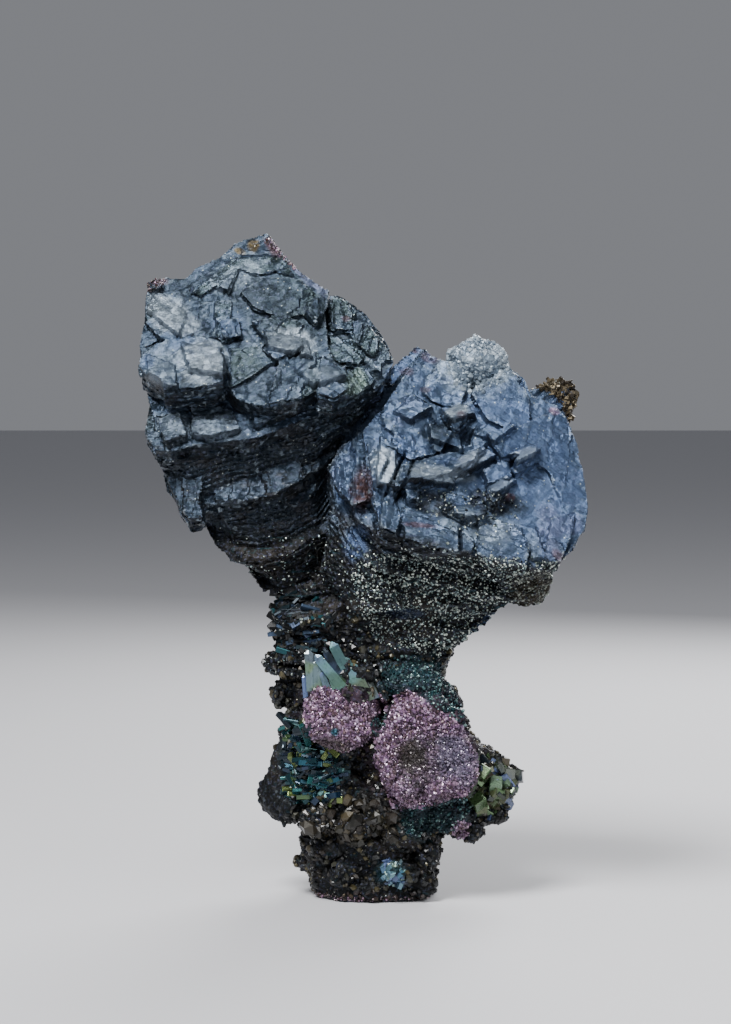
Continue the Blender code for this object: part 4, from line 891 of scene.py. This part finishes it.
# %% [markdown]
# ## Finishes for the crystals
# Each crystal has its own film of tarnish. Random Per Island gives every joined crystal one number, and
# a colour ramp with hard stops turns it into one of a few tones. Patches are painted over them where
# the real ones change colour from place to place.

# %% Finish and grow a kind of crystal


def crystal_finish(name, tones, metallic, roughness, coat, patches=()):
    gem = Finish(name, metallic, coat)
    island = gem.node("ShaderNodeNewGeometry", {}, {}, "Random Per Island")
    film = gem.ramp(island, tones, "CONSTANT")
    shade = gem.mix(gem.noise(2.4).rise(0.42, 0.62) * 0.45, film, tones[1])
    cloudy = gem.noise(0.25, detail=3)
    shade = gem.coats(gem.painted(shade, patches), (cloudy.rise(0.45, 0.3) * 0.4, SOOT))
    return gem.done(shade, roughness + 0.15 * (cloudy - 0.5), cloudy, depth=0.012)


def grow(name, crystal, tones, shine, *where, patches=(), **how):
    """Strews crystals with their own finish; shine is how metallic, rough and coated they are."""
    strew(name, crystal, crystal_finish(name, tones, *shine, patches), *where, **how)


# %% [markdown]
# ## Two velvety domes
# The lilac domes are a druse: thousands of short points side by side. The eye goes to them first, so
# they are densest.

# %% The lilac druse
LEFT_DOME = (-7.4, 19.4,  -7.2, 20.6,  -6.2, 21.8,  -5.3, 22.5,  -4.2, 22.2,  -3.3, 21.1,  -1.8, 20.4,
    -0.8, 20.8,  0.2, 21.4,  0.8, 20.6,  0.9, 19.8,  -0.8, 18.9,  -0.8, 17.6,  -0.3, 17.0,  -1.8, 16.2,
    -3.6, 15.6,  -5.3, 16.0,  -6.3, 16.6,  -7.2, 18.0)
RIGHT_DOME = (-0.3, 16.6,  0.4, 18.1,  1.2, 19.6,  1.7, 21.1,  2.9, 21.8,  4.2, 21.1,  5.7, 19.9,
    7.2, 19.1,  8.4, 18.1,  9.0, 16.8,  9.7, 15.6,  10.2, 14.6,  9.7, 12.6,  8.7, 11.3,  6.7, 10.8,
    4.7, 10.3,  3.2, 9.8,  2.2, 9.5,  1.2, 10.3,  0.4, 12.6,  -0.4, 14.3)
PURPLE_CLUSTER = (7.3, 8.2,  8.2, 8.7,  9.2, 8.0,  9.1, 6.8,  8.2, 6.2,  7.4, 6.9)
in_front = (middles[:, 1] < -2.0) & (backward < 0.15)
domes = (inside(LEFT_DOME) | inside(RIGHT_DOME) | inside(PURPLE_CLUSTER)) & in_front
grow("lilac_druse", POINT, [LILAC, PLUM, (112, 84, 114), ROSE, LILAC, (176, 152, 180), (96, 72, 100)],
     (0.4, 0.3, 0.3), domes, 5600, (0.18, 0.42), 0.145, tilt=0.45, sunk=0.1, patches=[
         (3.3, 15.3, 1.5, 1.5, 0, 0.9, (60, 50, 36)), (4.4, 14.6, 2.6, 3.0, 30, 0.5, GREY),
         (7.8, 15.0, 1.8, 2.6, -20, 0.6, (92, 92, 112)), (-4.6, 16.2, 2.0, 0.8, 0, 0.6, OCHRE),
         # the dark plum along the lower edge of a dome is partly its own darker purple and partly
         # painted shade
         (-4.3, 17.8, 0.4, 0.4, 0, 1.0, TURQUOISE), (5.0, 11.0, 2.6, 1.0, 0, 0.5, PLUM)])

# %% [markdown]
# ## Grains below the right head
# The underside of the right head glitters with tiny pale grains, sown on black, and a few lie in a
# hollow of its front and in the neck. They are hardly sunk, so that they stand clear of the dark ground.

# %% The pale grains
GRAINS = (-2.8, 33.6,  -1.0, 35.4,  1.2, 35.6,  6.2, 35.4,  12.2, 35.4,  17.4, 35.0,  17.6, 30.6,
    14.6, 29.4,  13.2, 29.6,  12.2, 30.8,  10.7, 28.3,  9.2, 26.6,  7.2, 25.2,  6.2, 24.6,  3.2, 25.4,
    -0.3, 26.2,  -1.2, 28.3,  -2.2, 30.3)
SPECKLES = (3.4, 42.2,  9.0, 42.0,  11.6, 41.8,  14.0, 40.8,  13.6, 37.8,  10.8, 37.0,  7.0, 38.2,
            3.8, 39.4)
under_right = inside(GRAINS) & (backward < 0.3)
low_neck = (heights > 23) & (heights < 37) & ~under_right & (looks[:, 2] < 0.3)
sparse = 0.14 * (inside(SPECKLES) & (backward < 0.3)) + 0.09 * low_neck
grow("pale_grains", GRAIN, [(140, 156, 154), SLATE, WHITE, (98, 114, 114), SOOT, WHITE, (166, 178, 168)],
     (0.6, 0.28, 0), under_right + sparse, 7500, (0.1, 0.32), 0.13, tilt=0.6, sunk=-0.1, patches=[
         (15.2, 32.2, 2.4, 2.0, 0, 0.6, OCHRE), (2.6, 29.2, 2.0, 0.6, 0, 0.8, DEEP_BLUE)])

# %% [markdown]
# ## Teal druse, dark crust and rosy grains
# A finer druse, teal and grey, fills in round the domes. A sooty crust of coarser grains covers the
# stalk and the foot on every side, apart from the smooth fin at the left. Fine rosy grains edge the
# foot, the crest of the left head and its outer corner.

# %% The teal druse
TEAL_ABOVE = (0.2, 24.4,  3.2, 25.0,  6.4, 23.6,  7.2, 22.2,  8.6, 19.6,  8.6, 18.2,  7.2, 19.2,
              5.7, 20.0,  4.2, 21.3,  2.9, 22.0,  1.7, 21.2,  0.6, 22.4)
TEAL_BETWEEN = (-1.0, 19.2,  0.9, 19.4,  0.8, 18.0,  0.2, 17.2,  -0.6, 17.5)
TEAL_BELOW = (1.7, 10.2,  5.0, 10.6,  8.7, 11.2,  9.6, 9.6,  7.4, 7.4,  5.2, 6.8,  3.2, 7.0,  1.9, 8.4)
finely = (inside(TEAL_ABOVE) | inside(TEAL_BETWEEN) | inside(TEAL_BELOW)) & in_front
behind = (middles[:, 1] > 2) & (heights < 24) & (heights > 15)
grow("teal_druse", POINT, [TEAL, (34, 52, 58), SLATE, (62, 92, 92), SLATE, (104, 128, 126)],
     (0.5, 0.32, 0), finely + 0.3 * behind, 1900, (0.2, 0.38), 0.17, sunk=0.1)

# %% The dark crust
FIN = (-13.5, 8.0,  -13.5, 12.0,  -9.4, 16.0,  -8.8, 12.0,  -9.4, 8.0,  -10.4, 6.6)
stalk = ~inside(FIN) & (heights < 29) & (heights > 0.25) & ~domes & ~finely & ~under_right
grow("dark_crust", GRAIN, [SOOT, BLACK, BROWN, (46, 46, 36), BLACK, (70, 64, 42), BLACK, OCHRE, SOOT],
     (0.4, 0.38, 0.2), stalk, 4000, (0.2, 0.85), 0.26, tilt=0.7, sunk=0.1, uneven=0.45, patches=[
         (1.2, 3.1, 1.4, 1.2, 0, 0.6, TEAL), (1.9, 2.3, 0.9, 0.8, 0, 0.9, BLUE),
         (-1.0, 0.6, 5.4, 0.6, 0, 0.5, RUST)])

# %% The rosy grains
CREST = (-11.4, 66.4,  -10.6, 67.8,  -9.4, 66.4,  -7.6, 64.0,  -8.4, 63.6)
CORNER = (-23.8, 61.4,  -23.2, 63.2,  -21.0, 63.2,  -21.6, 62.1,  -22.8, 61.2)
low_rim = (heights < 0.6) & (heights > 0.16) & (looks[:, 2] > -0.5)
grow("rosy_grains", GRAIN, [ROSE, SOOT, RUST, (150, 136, 138), BROWN, LILAC], (0.4, 0.32, 0),
     low_rim | inside(CREST) | inside(CORNER), 900, (0.12, 0.3), 0.13, tilt=0.6, sunk=-0.1)

# %% [markdown]
# ## Bars and blocks with a peacock tarnish
# On the left below the domes lie small teal and blue bars, like bricks that someone has tipped out.
# They lie along the stalk's width rather than standing up from it. Darker bars lie in the neck and
# green blocks on the right wing.

# %% The peacock blocks, the neck bars and the green blocks
BARS = (-9.4, 18.8,  -7.6, 18.4,  -6.6, 16.2,  -4.0, 15.4,  -3.4, 12.4,  -4.4, 10.0,  -8.6, 10.2,
        -9.2, 14.0)
NECK = (-10.8, 31.2,  -6.6, 30.6,  -4.6, 28.4,  -5.4, 25.8,  -8.4, 24.6,  -10.8, 24.8)
GREEN_WING = (9.8, 15.2,  12.4, 14.2,  14.4, 12.6,  13.4, 9.8,  11.2, 8.4,  9.6, 9.8,  10.2, 12.6)
# the bright aqua and yellow-green bars are partly the film's own colours and partly painted glints
grow("peacock_blocks", BAR, [TEAL, (12, 34, 46), (16, 46, 70), TURQUOISE, DEEP_BLUE, TEAL, SLATE, TEAL,
                            (34, 92, 92), LEAF, (104, 118, 62), AQUA], (0.7, 0.26, 0.3),
     inside(BARS) & in_front, 230, (0.7, 1.5), 0.36, tilt=0.3, sunk=0.05, uneven=0.4, lie=(1, 0, 0))
grow("neck_bars", BAR, [SLATE, BLACK, SOOT, (18, 40, 48), DEEP_BLUE, BLACK, SLATE, (26, 66, 72), SOOT,
                        BLUE_STEEL], (0.7, 0.4, 0),
     inside(NECK) & in_front, 170, (0.6, 1.4), 0.34, tilt=0.15, uneven=0.4, lie=(1, 0, 0.1))
grow("mossy_blocks", BLOCK, [LEAF, (62, 66, 44), OCHRE, (96, 120, 96), SLATE, (84, 98, 136),
                             (70, 78, 52), LEAF], (0.5, 0.28, 0.3), inside(GREEN_WING) & in_front,
     110, (0.5, 1.9), 0.42, tilt=0.5, sunk=0.15, uneven=0.4, lie=(0.7, 0, -0.7))

# %% [markdown]
# ## Sheets, a silvery knob and smoky lumps
# Thin bronze sheets lie on the small wing at the right edge of the right head. The knob above that head
# is a heap of silvery grains, sunk so deep that they touch, and smoky lumps fill the stalk below the
# domes.

# %% The bronze sheets, the silvery knob and the smoky lumps
COPPER_WING = (15.0, 51.4,  15.6, 52.8,  17.4, 53.2,  19.2, 53.2,  21.2, 51.6,  20.8, 48.0,
               19.3, 48.4,  18.7, 50.0,  17.6, 51.2,  16.2, 51.8)
KNOB = (6.8, 53.0,  7.0, 55.4,  8.6, 57.4,  10.8, 57.9,  12.8, 56.4,  13.4, 54.6,  12.6, 52.4,
        10.4, 51.4,  8.2, 51.6)
LUMPS = (-7.2, 10.4,  -3.2, 11.2,  0.4, 10.2,  2.2, 9.2,  1.8, 6.6,  -2.0, 5.8,  -6.8, 6.6)
grow("bronze_sheets", SHEET, [OCHRE, (84, 74, 56), BROWN, (66, 58, 43), (104, 94, 74)], (0.5, 0.42, 0),
     inside(COPPER_WING) & (backward < 0.4), 290, (0.25, 0.75), 0.14, tilt=0.1, sunk=0.1, uneven=0.4,
     lie=(1, 0, -0.35))
grow("silver_lump", GRAIN, [PALE_STEEL, BRIGHT, (112, 124, 134), (88, 102, 116), BRIGHT, STEEL],
     (0.4, 0.45, 0), inside(KNOB) & (backward < 0.4), 520, (0.35, 0.95), 0.28, tilt=0.2, sunk=0.3,
     uneven=0.4)
grow("smoky_lumps", GRAIN, [BROWN, (44, 40, 32), SOOT, (36, 35, 28), (66, 59, 42), BLACK],
     (0.3, 0.32, 0.3), inside(LUMPS) & in_front, 300, (0.3, 1.5), 0.36, tilt=0.7, sunk=0.25, uneven=0.6)

# %% [markdown]
# ## Blades above the left dome
# A fan of pearly blades is so small that each can be placed by its two ends and its width. They could
# be strewn too, but a fan has a common foot. A few blocks low on the foot have the same film.

# %% Place the blades and strew the spot on the foot
pearly = crystal_finish(
    "pearly_blades", [AQUA, (104, 122, 164), AQUA, (112, 136, 108), SLATE, (66, 114, 130)],
    0.6, 0.24, 0.3,
    [(-1.4, 21.6, 1.8, 1.3, 0, 0.8, (92, 98, 74)), (-6.6, 25.0, 0.9, 0.7, 0, 0.7, LAVENDER),
     (-4.4, 22.6, 1.6, 0.8, 0, 0.6, LEAF), (-3.2, 25.2, 1.6, 1.4, 0, 0.6, SLATE)],
)
FOOT_SPOT = (-0.2, 3.4,  1.0, 4.5,  2.6, 4.4,  3.0, 3.0,  2.4, 1.8,  1.2, 1.6,  0.2, 2.2)
strew("foot_spot", BLOCK, pearly, inside(FOOT_SPOT) & in_front, 40, (0.4, 1.0), 0.32, sunk=0.1,
      uneven=0.4, lie=(0.8, 0, 0.6))
BLADES = (
    ((-6.6, -7.2, 21.6), (-6.9, -6.8, 25.3), 1.2), ((-5.9, -7.4, 21.8), (-6.1, -7.0, 24.4), 1.1),
    ((-3.2, -8.0, 21.6), (-6.0, -7.2, 24.9), 1.2), ((-2.6, -7.8, 21.4), (-5.2, -6.8, 25.4), 0.9),
    ((-2.0, -7.7, 21.4), (-4.4, -6.6, 26.0), 1.3), ((-1.6, -7.6, 20.9), (-3.3, -6.8, 24.6), 1.4),
    ((-0.9, -7.6, 20.6), (-2.6, -6.8, 24.0), 1.5), ((-0.3, -7.2, 20.8), (-1.4, -6.4, 23.6), 1.1),
    ((-7.2, -7.0, 20.9), (-7.4, -6.6, 22.9), 0.6), ((-5.0, -7.8, 21.8), (-5.6, -7.2, 23.4), 0.8),
    ((0.6, -6.8, 20.8), (-0.6, -6.2, 23.6), 0.9), ((-4.2, -7.8, 21.9), (-4.9, -7.2, 23.8), 0.9),
)
places, turns = [], []
for low, high, width in BLADES:
    long = Vector(high) - Vector(low)
    side = long.cross(Vector((0, -1, 0.2))).normalized()
    places.append((Vector(high) + Vector(low)) / 2)
    axes = Matrix((side * width, side.cross(long).normalized() * width, long)).transposed()
    turns.append(np.array(axes))
piece_of("pearly_blades", *BLADE, np.array(places), np.array(turns), pearly)

# %% [markdown]
# ## The skin in six pieces
# One mesh of seven hundred thousand triangles is slow to edit, so it is cut into two pieces of stalk
# and four of the heads, along planes that its own creases hide. Every cut is closed.

# %% Split the skin
CUTS = (
    # the piece to cut, the plane's place and direction, the names below it and above it
    ("rough_ore", (0, 0, 28), (0, 0, 1), "stalk", "heads"),
    ("stalk", (0, 0, 15), (0, 0, 1), "ore_foot", "ore_stalk"),
    ("heads", (-2.6, 0, 0), (1, 0, 0), "left", "right"),
    ("left", (0, 0, 46), (0, 0.35, 1), "ore_left_neck", "ore_left_head"),
    ("right", (0, 0, 44), (0, 0.5, 1), "ore_right_head", "ore_right_crest"),
)
pieces = {"rough_ore": rough}
for name, point, way, *halves in CUTS:
    whole = pieces.pop(name)
    for half, side in zip(halves, (1, -1)):
        pieces[half] = linked(half, whole.data.copy())
        cut_away(pieces[half], point, Vector(way) * side)
    bpy.data.objects.remove(whole)
for name, piece in pieces.items():
    only(piece)
    bpy.ops.object.shade_smooth_by_angle(angle=math.radians(30))
    piece.data.calc_loop_triangles()
    print(name, len(piece.data.loop_triangles), "triangles")

# %% [markdown]
# ## A plain studio
# A pale floor and a grey world keep the colours true. A large key lamp above at the left draws the steps
# of the plates with soft shadows, a weak fill opens them, and a rim lamp lights the back.

# %% Floor and world
bpy.ops.mesh.primitive_plane_add(size=4)
floor = bpy.context.active_object
floor.name = "floor"
pale = bpy.data.materials.new("pale_floor")
pale.use_nodes = True
surface = pale.node_tree.nodes["Principled BSDF"]
surface.inputs["Base Color"].default_value = (0.5, 0.5, 0.52, 1)
surface.inputs["Roughness"].default_value = 0.7
floor.data.materials.append(pale)

world = bpy.data.worlds.new("studio")
bpy.context.scene.world = world
world.use_nodes = True
sky = world.node_tree.nodes["Background"]
sky.inputs["Color"].default_value = (0.72, 0.74, 0.80, 1)
sky.inputs["Strength"].default_value = 0.3

# %% Lamps and camera


def lamp(name, place, height, size, power):
    """A square soft light in that place, in millimetres, turned towards the ore at that height."""
    light = bpy.data.lights.new(name, "AREA")
    light.size = size * MM
    light.energy = power
    holder = linked(name, light)
    holder.location = Vector(place) * MM
    holder.rotation_euler = (Vector((0, 0, height)) - Vector(place)).to_track_quat("-Z", "Y").to_euler()


lamp("key", (-110, -190, 300), 42, 130, 2.8)
lamp("fill", (240, -210, 60), 35, 200, 0.5)
lamp("rim", (90, 210, 170), 40, 160, 0.9)

DOWN = math.radians(3)
DISTANCE = 284.4  # millimetres from the camera to the point that it looks at
camera = linked("camera", bpy.data.cameras.new("camera"))
camera.data.lens = 100
camera.data.clip_start = 0.01
aim = Vector((-1.25, -5.5, 39.4)) * MM
away = Vector((0, -math.cos(DOWN), math.sin(DOWN))) * DISTANCE * MM
camera.location = aim + away
camera.rotation_euler = (-away).to_track_quat("-Z", "Y").to_euler()
bpy.context.scene.camera = camera

# %% [markdown]
# ## Hand the pieces over
# Nothing on the ore moves by itself, so every piece rides on the one body, and together the pieces
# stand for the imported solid.

# %% Hand the pieces over
for piece in [*pieces.values(), *crystals]:
    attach(piece, "root")
    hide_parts("peacock_ore")
